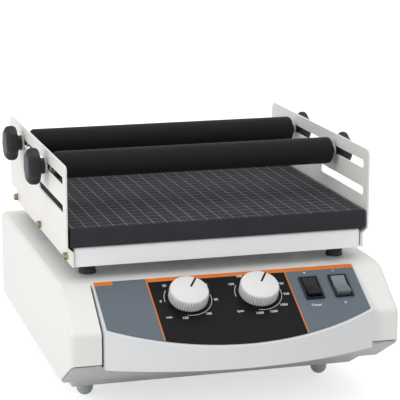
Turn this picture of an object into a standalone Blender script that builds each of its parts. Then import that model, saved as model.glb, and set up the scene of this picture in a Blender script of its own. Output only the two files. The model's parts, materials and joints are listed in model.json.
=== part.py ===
"""Laboratory platform shaker with a clamping platform.

A low housing carries a bowed control panel. A belt drive inside turns an eccentric shaft, which moves the tray
in a small circle on four rubber buffers. Two side plates on the tray hold two padded rollers in long slots.

Metres, +Z up, feet on z = 0. The front faces -Y. The origin is below the middle of the overall box. The housing
and tray are symmetric about x = MIDDLE_X, because the left star knobs stand out further than the right ones.
"""

import math

import bmesh
import bpy
from mathutils import Matrix, Vector

# General clearances and facet counts
GAP = 0.0003
OVERRUN = 0.004
ARC_STEP_DEG = 18.0
ROUND_STEPS = 24
FINE_STEPS = 20
SMALL_STEPS = 14
TINY_STEPS = 12

# Feet
FOOT_HEIGHT = 0.0155
FOOT_RADIUS = 0.0068
FOOT_FLAT_RADIUS = 0.003
FOOT_FLANGE_RADIUS = 0.0085
FOOT_FLANGE_HEIGHT = 0.003
FOOT_X = 0.0935
FOOT_FRONT_Y = -0.0385
FOOT_BACK_Y = 0.1220
DOME_STEPS = 4

# Base pan
PAN_BOTTOM_Z = FOOT_HEIGHT + GAP
PAN_DEPTH = 0.0144
PAN_WIDTH = 0.240
PAN_WALL = 0.0022
PAN_BACK_INSET = 0.0015
TUB_WIDTH = 0.218
TUB_FRONT_Y = -0.0655
TUB_BACK_Y = 0.138
TUB_SIDE_DRAFT = 0.006
TUB_END_DRAFT = 0.0115
STANDOFF_RADIUS = 0.003
STANDOFF_HEIGHT = 0.008
PAN_RIM_Z = PAN_BOTTOM_Z + PAN_DEPTH
PAN_FLOOR_Z = PAN_BOTTOM_Z + PAN_WALL

# Housing: heights are counted up from the pan's rim
HOUSING_WIDTH = 0.245
HOUSING_DEPTH = 0.287
HOUSING_WALL = 0.003
SKIRT_Z = PAN_RIM_Z + GAP
UNDERCUT_HEIGHT = 0.0215
CHEEK_HEIGHT = 0.0225
CHEEK_SLOPE_HEIGHT = 0.027
CHEEK_SLOPE_RUN = 0.0392
UNDERCUT_RUN = 0.0385
TOP_CREASE_RADIUS = 0.025
BACK_TOP_RADIUS = 0.008
CHEEK_CREASE_RADIUS = 0.005
SIDE_EDGE_RADIUS = 0.0035
DRIVE_OPENING_RADIUS = 0.023
CHEEK_BOTTOM_Z = SKIRT_Z + UNDERCUT_HEIGHT
CHEEK_CREASE_Z = CHEEK_BOTTOM_Z + CHEEK_HEIGHT
HOUSING_TOP_Z = CHEEK_CREASE_Z + CHEEK_SLOPE_HEIGHT

# Front panel, a separate moulding between the cheeks
PANEL_WIDTH = 0.1994
PANEL_REACH = 0.027
PANEL_STEP = 0.0052
PANEL_SLOPE = math.radians(28.5)
PANEL_TOP_DROP = 0.0005
PANEL_TOP_RUN = 0.038
PANEL_BOTTOM_DROP = 0.0025
PANEL_WALL = 0.0025
PANEL_EDGE_RADIUS = 0.0010
PANEL_NOTCH_HEIGHT = 0.006
PANEL_ARC_STEPS = 18
BACK_Y = (HOUSING_DEPTH + PANEL_REACH) / 2
CHEEK_Y = BACK_Y - HOUSING_DEPTH
PANEL_TOP_Y = CHEEK_Y + PANEL_TOP_RUN
PANEL_TOP_Z = HOUSING_TOP_Z - PANEL_TOP_DROP
PANEL_BOTTOM_Z = CHEEK_BOTTOM_Z - PANEL_BOTTOM_DROP

# Control label on the sloping face
LABEL_WIDTH = 0.195
LABEL_THICKNESS = 0.0005
LABEL_TOP_MARGIN = 0.001
LABEL_ARC_MARGIN = 0.0018

# Dial knobs on the panel
TIMER_DIAL_X = -0.0331
SPEED_DIAL_X = 0.0195
DIAL_DOWN = 0.0235
DIAL_RADIUS = 0.0147
DIAL_RIB = 0.0006
DIAL_RIBS = 36
DIAL_HEIGHT = 0.0075
DIAL_CAP_RADIUS = 0.0141
DIAL_CAP_HEIGHT = 0.001
DIAL_BORE_DEPTH = 0.005
SPINDLE_RADIUS = 0.003
SPINDLE_LENGTH = 0.016
POT_RADIUS = 0.0085
POT_DEPTH = 0.009
BUSH_RADIUS = 0.0045
DIALS = (("timer", TIMER_DIAL_X), ("speed", SPEED_DIAL_X))

# Rocker switches
TIMER_SWITCH_X = 0.0603
MAINS_SWITCH_X = 0.0828
SWITCH_DOWN = 0.0229
SWITCH_WIDTH = 0.0142
SWITCH_LENGTH = 0.0228
SWITCH_RIM = 0.0014
SWITCH_RIM_HEIGHT = 0.0012
SWITCH_BOX_INSET = 0.0007
SWITCH_BOX_DEPTH = 0.016
SWITCH_POCKET_DEPTH = 0.0095
ROCKER_TILT = math.radians(6.0)
ROCKER_SIDE_GAP = 0.0004
ROCKER_END_GAP = 0.0008
ROCKER_PIVOT_DEPTH = 0.0030
ROCKER_END_RISE = 0.0045
ROCKER_DIP = 0.0016
ROCKER_KEEL = 0.0040
SWITCHES = (("timer", TIMER_SWITCH_X), ("mains", MAINS_SWITCH_X))

# Rubber buffers between housing and tray, laid out round the crank pin
BUFFER_HEIGHT = 0.0216
BUFFER_RADIUS = 0.0066
BUFFER_RIB = 0.0005
BUFFER_RIBS = 4
BUFFER_X = 0.0955
BUFFER_Y = 0.0907
TRAY_UNDERSIDE_Z = HOUSING_TOP_Z + GAP + BUFFER_HEIGHT + GAP

# Tray and mat
TRAY_WIDTH = 0.2182
TRAY_DEPTH = 0.2258
TRAY_CENTRE_Y = 0.0300
TRAY_LIP = 0.0147
TRAY_WALL = 0.002
TRAY_EDGE_RADIUS = 0.0024
TRAY_TOP_Z = TRAY_UNDERSIDE_Z + TRAY_WALL
MAT_WIDTH = 0.2236
MAT_DEPTH = 0.2286
MAT_THICKNESS = 0.014
MAT_EDGE_RADIUS = 0.0006

# Side plates
PLATE_LENGTH = 0.229
PLATE_HEIGHT = 0.0736
PLATE_THICKNESS = 0.002
PLATE_TAB_DROP = 0.0143
PLATE_FRONT_RADIUS = 0.004
PLATE_BACK_RADIUS = 0.007
JOGGLE_HEIGHT = 0.004
JOGGLE_OFFSET = 0.0035
SLOT_HEIGHT = 0.0056
SLOT_CORNER_RADIUS = 0.0027
SLOT_FRONT_INSET = 0.010
SLOT_BACK_INSET = 0.016
SLOT_TOP_INSET = 0.0126
SLOT_PITCH = 0.0204
LOWER_SLOT_LENGTH = 0.0935
JOGGLE_HIGH_Z = TRAY_TOP_Z + GAP
JOGGLE_LOW_Z = JOGGLE_HIGH_Z - JOGGLE_HEIGHT
PLATE_BOTTOM_Z = TRAY_TOP_Z - PLATE_TAB_DROP
PLATE_TOP_Z = PLATE_BOTTOM_Z + PLATE_HEIGHT
UPPER_SLOT_Z = PLATE_TOP_Z - SLOT_TOP_INSET
LOWER_SLOT_Z = UPPER_SLOT_Z - SLOT_PITCH
PLATE_TAB_X = TRAY_WIDTH / 2 + GAP
PLATE_INNER_X = PLATE_TAB_X + JOGGLE_OFFSET
PLATE_OUTER_X = PLATE_INNER_X + PLATE_THICKNESS

# Screws of the side plates: places along half of the plate's length
SCREW_SHARES = (("front", -0.838), ("middle", 0.057), ("back", 0.950))
SCREW_EDGE_DISTANCE = 0.0042
SCREW_SHANK_RADIUS = 0.002
SCREW_HEAD_RADIUS = 0.0028
SCREW_HEAD_HEIGHT = 0.003
SCREW_EDGE = 0.0007
SCREW_Z = PLATE_BOTTOM_Z + SCREW_EDGE_DISTANCE

# Padded rollers
FRONT_ROLLER_Y = -0.0145
BACK_ROLLER_Y = 0.0815
ROD_RADIUS = 0.0025
ROD_GRIP = 0.0065
COLLAR_RADIUS = 0.006
COLLAR_THICKNESS = 0.0015
CORE_RADIUS = 0.006
CORE_WALL = 0.0032
SLEEVE_RADIUS = 0.010
SLEEVE_END_RADIUS = 0.004
SLEEVE_END_RUN = 0.002
SLEEVE_LENGTH = 0.2184
WASHER_RADIUS = 0.006
WASHER_THICKNESS = 0.0015
ROLLER_Z = UPPER_SLOT_Z
COLLAR_X = PLATE_INNER_X - GAP
WASHER_X = PLATE_OUTER_X + GAP

# Star knobs: the left ones have a hub and a washer, the right ones lie on the plate
STAR_RADIUS = 0.0140
STAR_LOBES = 7
STAR_LOBE_DEPTH = 0.0012
STAR_THICKNESS = 0.0085
STAR_EDGE_RADIUS = 0.0030
STAR_HUB_RADIUS = 0.006
STAR_HUB_LENGTH = 0.0048
STAR_POINTS_PER_LOBE = 5
LEFT_HUB_X = WASHER_X + WASHER_THICKNESS + GAP
LEFT_GRIP_X = LEFT_HUB_X + STAR_HUB_LENGTH
RIGHT_GRIP_X = PLATE_OUTER_X + GAP
MIDDLE_X = (LEFT_GRIP_X - RIGHT_GRIP_X) / 2

# Eccentric drive
PIN_Y = 0.0275
SHAFT_THROW = 0.0015
SHAFT_RADIUS = 0.005
SHAFT_END = 0.0015
WEB_RADIUS = 0.011
WEB_THICKNESS = 0.004
PIN_RADIUS = 0.005
PIN_END = 0.0015
BEARING_RADIUS = 0.013
BEARING_HEIGHT = 0.008
BEARING_EDGE = 0.0006
BEARING_TUBE_WALL = 0.005
BEARING_TUBE_DROP = 0.0055
BEARING_TUBE_CLEARANCE = 0.0105
COUNTERWEIGHT_RADIUS = 0.030
SHAFT_Y = PIN_Y - SHAFT_THROW
BORE_RADIUS = BEARING_RADIUS + GAP

# Drive bracket, motor, pulleys and belt
BRACKET_WIDTH = 0.150
BRACKET_LENGTH = 0.100
BRACKET_HEIGHT = 0.045
BRACKET_WALL = 0.003
MOTOR_X = 0.048
MOTOR_RADIUS = 0.022
MOTOR_HEIGHT = 0.026
MOTOR_EDGE_RADIUS = 0.002
MOTOR_SHAFT_RADIUS = 0.003
MOTOR_SHAFT_REACH = 0.012
PULLEY_RADIUS = 0.024
MOTOR_PULLEY_RADIUS = 0.012
PULLEY_FLANGE = 0.002
PULLEY_FLANGE_HEIGHT = 0.0015
PULLEY_CLEARANCE = 0.017
PULLEY_HUB_RADIUS = 0.009
BELT_WIDTH = 0.006
BELT_THICKNESS = 0.0018
BRACKET_TOP_Z = PAN_FLOOR_Z + BRACKET_HEIGHT
BEARING_TUBE_LOW_Z = BRACKET_TOP_Z - BEARING_TUBE_DROP
BEARING_TUBE_HIGH_Z = HOUSING_TOP_Z - BEARING_TUBE_CLEARANCE
PULLEY_LOW_Z = PAN_FLOOR_Z + PULLEY_CLEARANCE
SHAFT_LOW_Z = PULLEY_LOW_Z - SHAFT_END
WEB_LOW_Z = BEARING_TUBE_HIGH_Z + GAP
WEB_HIGH_Z = WEB_LOW_Z + WEB_THICKNESS

# Platform hub under the tray
HUB_FLANGE_RADIUS = 0.028
HUB_FLANGE_THICKNESS = 0.003
HUB_WALL = 0.003
HUB_CLEARANCE = 0.0035
HUB_LIP = 0.003
HUB_LOW_Z = HOUSING_TOP_Z + HUB_CLEARANCE
CRANK_BEARING_LOW_Z = HUB_LOW_Z + HUB_LIP
PIN_TOP_Z = CRANK_BEARING_LOW_Z + BEARING_HEIGHT + PIN_END

# Control board and mains inlet
BOARD_WIDTH = 0.130
BOARD_DEPTH = 0.034
BOARD_THICKNESS = 0.0016
BOARD_FRONT_Y = -0.062
STANDOFF_INSET = 0.006
INLET_WIDTH = 0.027
INLET_HEIGHT = 0.020
INLET_DEPTH = 0.022
INLET_X = 0.070
INLET_RISE = 0.0255
INLET_FLANGE = 0.003
INLET_FLANGE_THICKNESS = 0.002
INLET_RIM = 0.0025
INLET_POCKET = 0.016
INLET_PIN_WIDTH = 0.002
INLET_PIN_HEIGHT = 0.004
INLET_PIN_LENGTH = 0.013
INLET_PIN_PITCH = 0.007
INLET_EARTH_RISE = 0.004
INLET_CORNER = 0.004
INLET_Z = SKIRT_Z + INLET_RISE

# Which way the outline plane and the depth of an extruded outline lie
OUTLINE_YZ = Matrix(((0, 0, 1, 0), (1, 0, 0, 0), (0, 1, 0, 0), (0, 0, 0, 1)))
OUTLINE_XZ = Matrix(((1, 0, 0, 0), (0, 0, -1, 0), (0, 1, 0, 0), (0, 0, 0, 1)))
OUTLINE_XY = Matrix.Identity(4)
AXIS_ALONG_X = Matrix.Rotation(math.pi / 2, 4, "Y")

# Finishes: base colour, roughness, metallic
FINISHES = {
    "housing_white": ((0.80, 0.80, 0.77), 0.45, 0.0),
    "panel_white": ((0.81, 0.81, 0.79), 0.42, 0.0),
    "plate_white": ((0.85, 0.84, 0.81), 0.40, 0.0),
    "tray_white": ((0.78, 0.79, 0.80), 0.40, 0.0),
    "label_dark": ((0.03, 0.03, 0.035), 0.35, 0.0),
    "pan_grey": ((0.33, 0.34, 0.33), 0.55, 0.0),
    "foot_rubber": ((0.22, 0.26, 0.29), 0.70, 0.0),
    "mat_rubber": ((0.030, 0.030, 0.036), 0.65, 0.0),
    "roller_foam": ((0.025, 0.025, 0.028), 0.75, 0.0),
    "knob_black": ((0.035, 0.035, 0.040), 0.40, 0.0),
    "dial_white": ((0.82, 0.82, 0.80), 0.40, 0.0),
    "switch_black": ((0.02, 0.02, 0.022), 0.35, 0.0),
    "rocker_grey": ((0.10, 0.11, 0.12), 0.35, 0.0),
    "zinc": ((0.72, 0.66, 0.48), 0.35, 1.0),
    "steel": ((0.60, 0.60, 0.61), 0.30, 1.0),
    "aluminium": ((0.75, 0.75, 0.76), 0.35, 1.0),
    "black_rubber": ((0.02, 0.02, 0.02), 0.80, 0.0),
    "board_green": ((0.02, 0.16, 0.08), 0.50, 0.0),
    "cast_grey": ((0.35, 0.35, 0.36), 0.55, 1.0),
}

for existing in list(bpy.data.objects):
    bpy.data.objects.remove(existing, do_unlink=True)

PARTS = bpy.data.collections.new("platform_shaker")
CUTTERS = bpy.data.collections.new("cutters")
bpy.context.scene.collection.children.link(PARTS)
bpy.context.scene.collection.children.link(CUTTERS)


def finish(name):
    """Return the named Principled material, made on first use."""
    found = bpy.data.materials.get(name)
    if found:
        return found
    colour, roughness, metallic = FINISHES[name]
    material = bpy.data.materials.new(name)
    material.use_nodes = True
    shader = material.node_tree.nodes["Principled BSDF"]
    shader.inputs["Base Color"].default_value = (*colour, 1.0)
    shader.inputs["Roughness"].default_value = roughness
    shader.inputs["Metallic"].default_value = metallic
    material.diffuse_color = (*colour, 1.0)
    return material


MIDDLE = bpy.data.objects.new("middle_plane", None)
MIDDLE.location = (MIDDLE_X, 0.0, 0.0)
PARTS.objects.link(MIDDLE)


def add_part(name, mesh, material, parent=None, place=Matrix.Identity(4)):
    """Make a named part from a mesh, placed in its parent's space."""
    mesh.name = name
    part = bpy.data.objects.new(name, mesh)
    PARTS.objects.link(part)
    part.parent = parent or MIDDLE
    part.matrix_basis = place
    mesh.materials.clear()
    mesh.materials.append(finish(material))
    return part


def add_cutter(name, mesh, parent=None, place=Matrix.Identity(4)):
    """Make a wire-drawn cutter, which the model leaves out."""
    cutter = bpy.data.objects.new(name, mesh)
    CUTTERS.objects.link(cutter)
    cutter.parent = parent or MIDDLE
    cutter.matrix_basis = place
    cutter.display_type = "WIRE"
    cutter.hide_render = True
    return cutter


def combine(part, tool, operation="DIFFERENCE"):
    """Cut a part with a tool, or join the tool to it."""
    modifier = part.modifiers.new(operation.lower(), "BOOLEAN")
    modifier.operation = operation
    modifier.object = tool
    return modifier


def pivot(name, location, parent=None, rotation=(0.0, 0.0, 0.0)):
    """Add an empty on a joint's axis for the pieces that move with it."""
    empty = bpy.data.objects.new(name, None)
    PARTS.objects.link(empty)
    empty.parent = parent or MIDDLE
    empty.location = location
    empty.rotation_euler = rotation
    return empty


def smooth(mesh, angle=math.radians(35.0)):
    """Shade a mesh smooth, with edges over the angle kept sharp."""
    mesh.shade_smooth()
    mesh.set_sharp_from_angle(angle=angle)


def bevel(part, width, segments=2, angle=math.radians(50.0)):
    """Round the sharp edges of a part."""
    modifier = part.modifiers.new("rounded_edges", "BEVEL")
    modifier.width = width
    modifier.segments = segments
    modifier.limit_method = "ANGLE"
    modifier.angle_limit = angle
    modifier.harden_normals = False
    return modifier


def solidify(part, thickness, exact=False):
    """Give an open surface a wall that grows inwards, exact where flat faces meet in corners."""
    modifier = part.modifiers.new("wall", "SOLIDIFY")
    modifier.thickness = thickness
    modifier.offset = -1.0
    modifier.use_even_offset = True
    if exact:
        modifier.solidify_mode = "NON_MANIFOLD"
        modifier.nonmanifold_thickness_mode = "CONSTRAINTS"
    return modifier


def rounded(corners):
    """Turn corners (x, y, radius) into a closed outline whose corners are arcs."""
    points = []
    count = len(corners)
    for index, (x, y, radius) in enumerate(corners):
        here = Vector((x, y))
        before = Vector(corners[index - 1][:2]) - here
        after = Vector(corners[(index + 1) % count][:2]) - here
        if radius == 0:
            points.append(here)
            continue
        half = before.angle(after) / 2
        reach = radius / math.tan(half)
        centre = here + (before.normalized() + after.normalized()).normalized() * (radius / math.sin(half))
        start = here + before.normalized() * reach - centre
        turn = math.pi - 2 * half
        if before.x * after.y - before.y * after.x > 0:
            turn = -turn
        steps = max(2, round(abs(turn) / math.radians(ARC_STEP_DEG)))
        for step in range(steps + 1):
            points.append(centre + Matrix.Rotation(turn * step / steps, 2) @ start)
    return [(point.x, point.y) for point in points]


def rectangle(x_low, x_high, y_low, y_high, radius=0.0):
    """Outline of a rectangle with rounded corners."""
    return rounded([(x_low, y_low, radius), (x_high, y_low, radius), (x_high, y_high, radius), (x_low, y_high, radius)])


def circle(radius, steps, x=0.0, y=0.0):
    """Outline of a circle."""
    turns = [2 * math.pi * step / steps for step in range(steps)]
    return [(x + radius * math.cos(turn), y + radius * math.sin(turn)) for turn in turns]


def extruded(loops, depth, plane=OUTLINE_XY):
    """Extrude flat outlines, inner ones being holes, by a depth centred on their plane."""
    curve = bpy.data.curves.new("outline", "CURVE")
    curve.dimensions = "2D"
    curve.fill_mode = "BOTH"
    curve.extrude = depth / 2
    for loop in loops:
        spline = curve.splines.new("POLY")
        spline.points.add(len(loop) - 1)
        for point, (x, y) in zip(spline.points, loop):
            point.co = (x, y, 0.0, 1.0)
        spline.use_cyclic_u = True
    guide = bpy.data.objects.new("outline", curve)
    CUTTERS.objects.link(guide)
    bpy.context.view_layer.update()
    evaluated = guide.evaluated_get(bpy.context.evaluated_depsgraph_get())
    mesh = bpy.data.meshes.new_from_object(evaluated)
    bpy.data.objects.remove(guide, do_unlink=True)
    bpy.data.curves.remove(curve)
    work = bmesh.new()
    work.from_mesh(mesh)
    bmesh.ops.remove_doubles(work, verts=work.verts, dist=GAP / 10)
    if len(loops) == 1:
        bmesh.ops.dissolve_limit(work, angle_limit=math.radians(1.0), verts=work.verts, edges=work.edges)
    bmesh.ops.transform(work, matrix=plane, verts=work.verts)
    bmesh.ops.recalc_face_normals(work, faces=work.faces)
    work.to_mesh(mesh)
    work.free()
    return mesh


def block(x_low, x_high, y_low, y_high, z_low, z_high):
    """Mesh of a box between its corners."""
    work = bmesh.new()
    bmesh.ops.create_cube(work, size=1.0)
    size = (x_high - x_low, y_high - y_low, z_high - z_low)
    centre = ((x_low + x_high) / 2, (y_low + y_high) / 2, (z_low + z_high) / 2)
    bmesh.ops.scale(work, vec=size, verts=work.verts)
    bmesh.ops.translate(work, vec=centre, verts=work.verts)
    mesh = bpy.data.meshes.new("block")
    work.to_mesh(mesh)
    work.free()
    return mesh


def drafted_box(x_low, x_high, y_low, y_high, z_low, z_high):
    """Mesh of a box given at its bottom, whose walls lean out by the tub's drafts towards the top."""
    mesh = block(x_low, x_high, y_low, y_high, z_low, z_high)
    middle_y = (y_low + y_high) / 2
    for vertex in mesh.vertices:
        if vertex.co.z > (z_low + z_high) / 2:
            vertex.co.x += math.copysign(TUB_SIDE_DRAFT, vertex.co.x)
            vertex.co.y += math.copysign(TUB_END_DRAFT, vertex.co.y - middle_y)
    return mesh


def rod(radius, low, high, steps=FINE_STEPS):
    """Mesh of a cylinder along Z."""
    work = bmesh.new()
    bmesh.ops.create_cone(work, cap_ends=True, segments=steps, radius1=radius, radius2=radius, depth=high - low)
    bmesh.ops.translate(work, vec=(0.0, 0.0, (low + high) / 2), verts=work.verts)
    mesh = bpy.data.meshes.new("rod")
    work.to_mesh(mesh)
    work.free()
    return mesh


def turned(name, profile, material, parent=None, place=Matrix.Identity(4), steps=FINE_STEPS, closed=False):
    """Turn a profile (radius, z), given from its top down its outer side, about Z."""
    mesh = bpy.data.meshes.new(name)
    points = [(radius, 0.0, z) for radius, z in profile]
    edges = [(index, index + 1) for index in range(len(points) - 1)]
    if closed:
        edges.append((len(points) - 1, 0))
    mesh.from_pydata(points, edges, [])
    part = add_part(name, mesh, material, parent, place)
    screw = part.modifiers.new("turned", "SCREW")
    screw.steps = steps
    screw.render_steps = steps
    screw.use_merge_vertices = True
    screw.merge_threshold = GAP / 10
    screw.use_smooth_shade = True
    return part


def quarter(radius_out, z_out, radius_in, z_in, steps=3):
    """Profile points of a rounded edge, from its upper or inner end to its outer end."""
    points = []
    for step in range(steps + 1):
        turn = math.pi / 2 * step / steps
        across = radius_in + (radius_out - radius_in) * math.sin(turn)
        along = z_out + (z_in - z_out) * math.cos(turn)
        points.append((across, along))
    return points


def placed(x, y, z):
    """Placement without rotation."""
    return Matrix.Translation((x, y, z))


def bow_y(x, margin=0.0):
    """Front of the bowed panel in plan, at a distance x from its middle."""
    sagitta = PANEL_REACH - PANEL_STEP
    half_chord = PANEL_WIDTH / 2
    radius = (half_chord ** 2 + sagitta ** 2) / (2 * sagitta)
    centre_y = CHEEK_Y - PANEL_REACH + radius
    return centre_y - math.sqrt((radius - margin) ** 2 - x ** 2)


def bow_points(half_width, margin=0.0):
    """Points along the bow, from +x to -x."""
    shares = [1 - 2 * step / PANEL_ARC_STEPS for step in range(PANEL_ARC_STEPS + 1)]
    return [(half_width * share, bow_y(half_width * share, margin)) for share in shares]


def make_housing_shell():
    """White moulded housing: one open-bottomed shell with side walls, cheeks and a flat top."""
    outline = rounded([
        (BACK_Y, SKIRT_Z, 0),
        (BACK_Y, HOUSING_TOP_Z, BACK_TOP_RADIUS),
        (CHEEK_Y + CHEEK_SLOPE_RUN, HOUSING_TOP_Z, TOP_CREASE_RADIUS),
        (CHEEK_Y, CHEEK_CREASE_Z, CHEEK_CREASE_RADIUS),
        (CHEEK_Y, CHEEK_BOTTOM_Z, 0),
        (CHEEK_Y + UNDERCUT_RUN, SKIRT_Z, 0),
    ])
    mesh = extruded([outline], HOUSING_WIDTH, OUTLINE_YZ)
    work = bmesh.new()
    work.from_mesh(mesh)
    open_faces = [face for face in work.faces
                  if face.normal.z < 0 and face.calc_center_median().z < CHEEK_BOTTOM_Z
                  and abs(face.normal.x) < 0.5]
    bmesh.ops.delete(work, geom=open_faces, context="FACES")
    work.to_mesh(mesh)
    work.free()
    smooth(mesh)
    shell = add_part("housing_shell", mesh, "housing_white")
    bevel(shell, SIDE_EDGE_RADIUS, segments=3)
    solidify(shell, HOUSING_WALL)
    half_opening = PANEL_WIDTH / 2 + GAP
    combine(shell, add_cutter("panel_opening", block(
        -half_opening, half_opening, CHEEK_Y - OVERRUN, PANEL_TOP_Y + GAP, SKIRT_Z, HOUSING_TOP_Z + OVERRUN)))
    combine(shell, add_cutter("drive_opening", rod(
        DRIVE_OPENING_RADIUS, HOUSING_TOP_Z - HOUSING_WALL - OVERRUN, HOUSING_TOP_Z + OVERRUN, ROUND_STEPS),
        place=placed(0.0, SHAFT_Y, 0.0)))
    inlet = rectangle(INLET_X - INLET_WIDTH / 2 - GAP, INLET_X + INLET_WIDTH / 2 + GAP,
                      INLET_Z - INLET_HEIGHT / 2 - GAP, INLET_Z + INLET_HEIGHT / 2 + GAP)
    combine(shell, add_cutter("inlet_opening", extruded([inlet], 2 * OVERRUN, OUTLINE_XZ),
                              place=placed(0.0, BACK_Y, 0.0)))


def make_front_panel(frame):
    """Separate front moulding with a sloping face, a bowed front and a short floor."""
    half = PANEL_WIDTH / 2
    outline = [(-half, PANEL_TOP_Y), (half, PANEL_TOP_Y)] + bow_points(half)
    height = PANEL_TOP_Z - PANEL_BOTTOM_Z + OVERRUN
    mesh = extruded([outline], height)
    work = bmesh.new()
    work.from_mesh(mesh)
    bmesh.ops.translate(work, vec=(0.0, 0.0, PANEL_BOTTOM_Z + height / 2), verts=work.verts)
    cut = bmesh.ops.bisect_plane(
        work, geom=work.verts[:] + work.edges[:] + work.faces[:], plane_co=(0.0, PANEL_TOP_Y, PANEL_TOP_Z),
        plane_no=(0.0, -math.sin(PANEL_SLOPE), math.cos(PANEL_SLOPE)), clear_outer=True)
    rim = [item for item in cut["geom_cut"] if isinstance(item, bmesh.types.BMEdge)]
    bmesh.ops.contextual_create(work, geom=rim)
    bmesh.ops.recalc_face_normals(work, faces=work.faces)
    notch_y = CHEEK_Y + HOUSING_WALL - GAP
    notch_z = PANEL_BOTTOM_Z + PANEL_NOTCH_HEIGHT
    for spot, facing in (((0.0, notch_y, 0.0), (0.0, 1.0, 0.0)), ((0.0, 0.0, notch_z), (0.0, 0.0, 1.0))):
        bmesh.ops.bisect_plane(work, geom=work.verts[:] + work.edges[:] + work.faces[:], plane_co=spot,
                               plane_no=facing)
    unwanted = []
    for face in work.faces:
        middle = face.calc_center_median()
        if face.normal.y > 0.9 or (middle.y > notch_y and middle.z < notch_z):
            unwanted.append(face)
    bmesh.ops.delete(work, geom=unwanted, context="FACES")
    bmesh.ops.dissolve_limit(work, angle_limit=math.radians(0.5), verts=work.verts, edges=work.edges)
    work.to_mesh(mesh)
    work.free()
    smooth(mesh)
    panel = add_part("front_panel", mesh, "panel_white")
    solidify(panel, PANEL_WALL, exact=True)
    combine(panel, add_cutter("panel_trim", block(
        -half - OVERRUN, half + OVERRUN, PANEL_TOP_Y, PANEL_TOP_Y + OVERRUN, PANEL_BOTTOM_Z, PANEL_TOP_Z + OVERRUN)))
    bevel(panel, PANEL_EDGE_RADIUS, segments=1)
    for name, x in DIALS:
        combine(panel, add_cutter(name + "_bush_hole", rod(BUSH_RADIUS + GAP, -OVERRUN - PANEL_WALL, OVERRUN),
                                  frame, placed(x, -DIAL_DOWN, 0.0)))
    for name, x in SWITCHES:
        half_x = SWITCH_WIDTH / 2 - SWITCH_BOX_INSET + GAP
        half_y = SWITCH_LENGTH / 2 - SWITCH_BOX_INSET + GAP
        combine(panel, add_cutter(name + "_switch_hole", block(
            -half_x, half_x, -half_y, half_y, -OVERRUN - PANEL_WALL, OVERRUN),
            frame, placed(x, -SWITCH_DOWN, 0.0)))


def make_control_label(frame):
    """Thin printed overlay on the sloping face, with holes for dials and switches."""
    half = LABEL_WIDTH / 2
    along = math.cos(PANEL_SLOPE)
    arc = [(x, (y - PANEL_TOP_Y) / along) for x, y in bow_points(half, LABEL_ARC_MARGIN)]
    loops = [[(-half, -LABEL_TOP_MARGIN), (half, -LABEL_TOP_MARGIN)] + arc]
    for name, x in DIALS:
        loops.append(circle(BUSH_RADIUS + GAP, SMALL_STEPS, x, -DIAL_DOWN))
    for name, x in SWITCHES:
        half_x = SWITCH_WIDTH / 2 - SWITCH_BOX_INSET + GAP
        half_y = SWITCH_LENGTH / 2 - SWITCH_BOX_INSET + GAP
        loops.append(rectangle(x - half_x, x + half_x, -SWITCH_DOWN - half_y, -SWITCH_DOWN + half_y))
    add_part("control_label", extruded(loops, LABEL_THICKNESS), "label_dark", frame,
             placed(0.0, 0.0, GAP + LABEL_THICKNESS / 2))


def make_base_pan():
    """Grey pan that closes the housing: a bent sheet with a shallow tub below it."""
    sheet_top = PAN_RIM_Z
    lean = math.atan2(UNDERCUT_HEIGHT, UNDERCUT_RUN)
    bend_y = CHEEK_Y + UNDERCUT_RUN
    front_y = CHEEK_Y + HOUSING_WALL + GAP
    rise = (bend_y - front_y) * math.tan(lean)
    drop = PAN_WALL / math.cos(lean)
    bend_low = bend_y - PAN_WALL * math.tan(lean / 2)
    back_y = BACK_Y - PAN_BACK_INSET
    outline = [
        (back_y, sheet_top - PAN_WALL), (back_y, sheet_top), (bend_y, sheet_top), (front_y, sheet_top + rise),
        (front_y, sheet_top + rise - drop), (bend_low, sheet_top - PAN_WALL),
    ]
    pan = add_part("base_pan", extruded([outline], PAN_WIDTH, OUTLINE_YZ), "pan_grey")
    inset = PAN_WALL / 2
    hollow = drafted_box(-TUB_WIDTH / 2 + inset, TUB_WIDTH / 2 - inset, TUB_FRONT_Y + inset, TUB_BACK_Y - inset,
                         PAN_BOTTOM_Z, sheet_top + OVERRUN)
    combine(pan, add_cutter("tub_opening", hollow))
    tub = drafted_box(-TUB_WIDTH / 2, TUB_WIDTH / 2, TUB_FRONT_Y, TUB_BACK_Y, PAN_BOTTOM_Z, sheet_top - inset)
    work = bmesh.new()
    work.from_mesh(tub)
    lid = [face for face in work.faces if face.normal.z > 0.5]
    bmesh.ops.delete(work, geom=lid, context="FACES")
    work.to_mesh(tub)
    work.free()
    tub_shell = add_cutter("tub_wall", tub)
    solidify(tub_shell, PAN_WALL)
    combine(pan, tub_shell, "UNION")
    for x in (-1, 1):
        for y in (BOARD_FRONT_Y + STANDOFF_INSET, BOARD_FRONT_Y + BOARD_DEPTH - STANDOFF_INSET):
            spot = placed(x * (BOARD_WIDTH / 2 - STANDOFF_INSET), y, 0.0)
            standoff = rod(STANDOFF_RADIUS, PAN_BOTTOM_Z + PAN_WALL / 4, PAN_FLOOR_Z + STANDOFF_HEIGHT, SMALL_STEPS)
            combine(pan, add_cutter("standoff", standoff, place=spot), "UNION")


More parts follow.
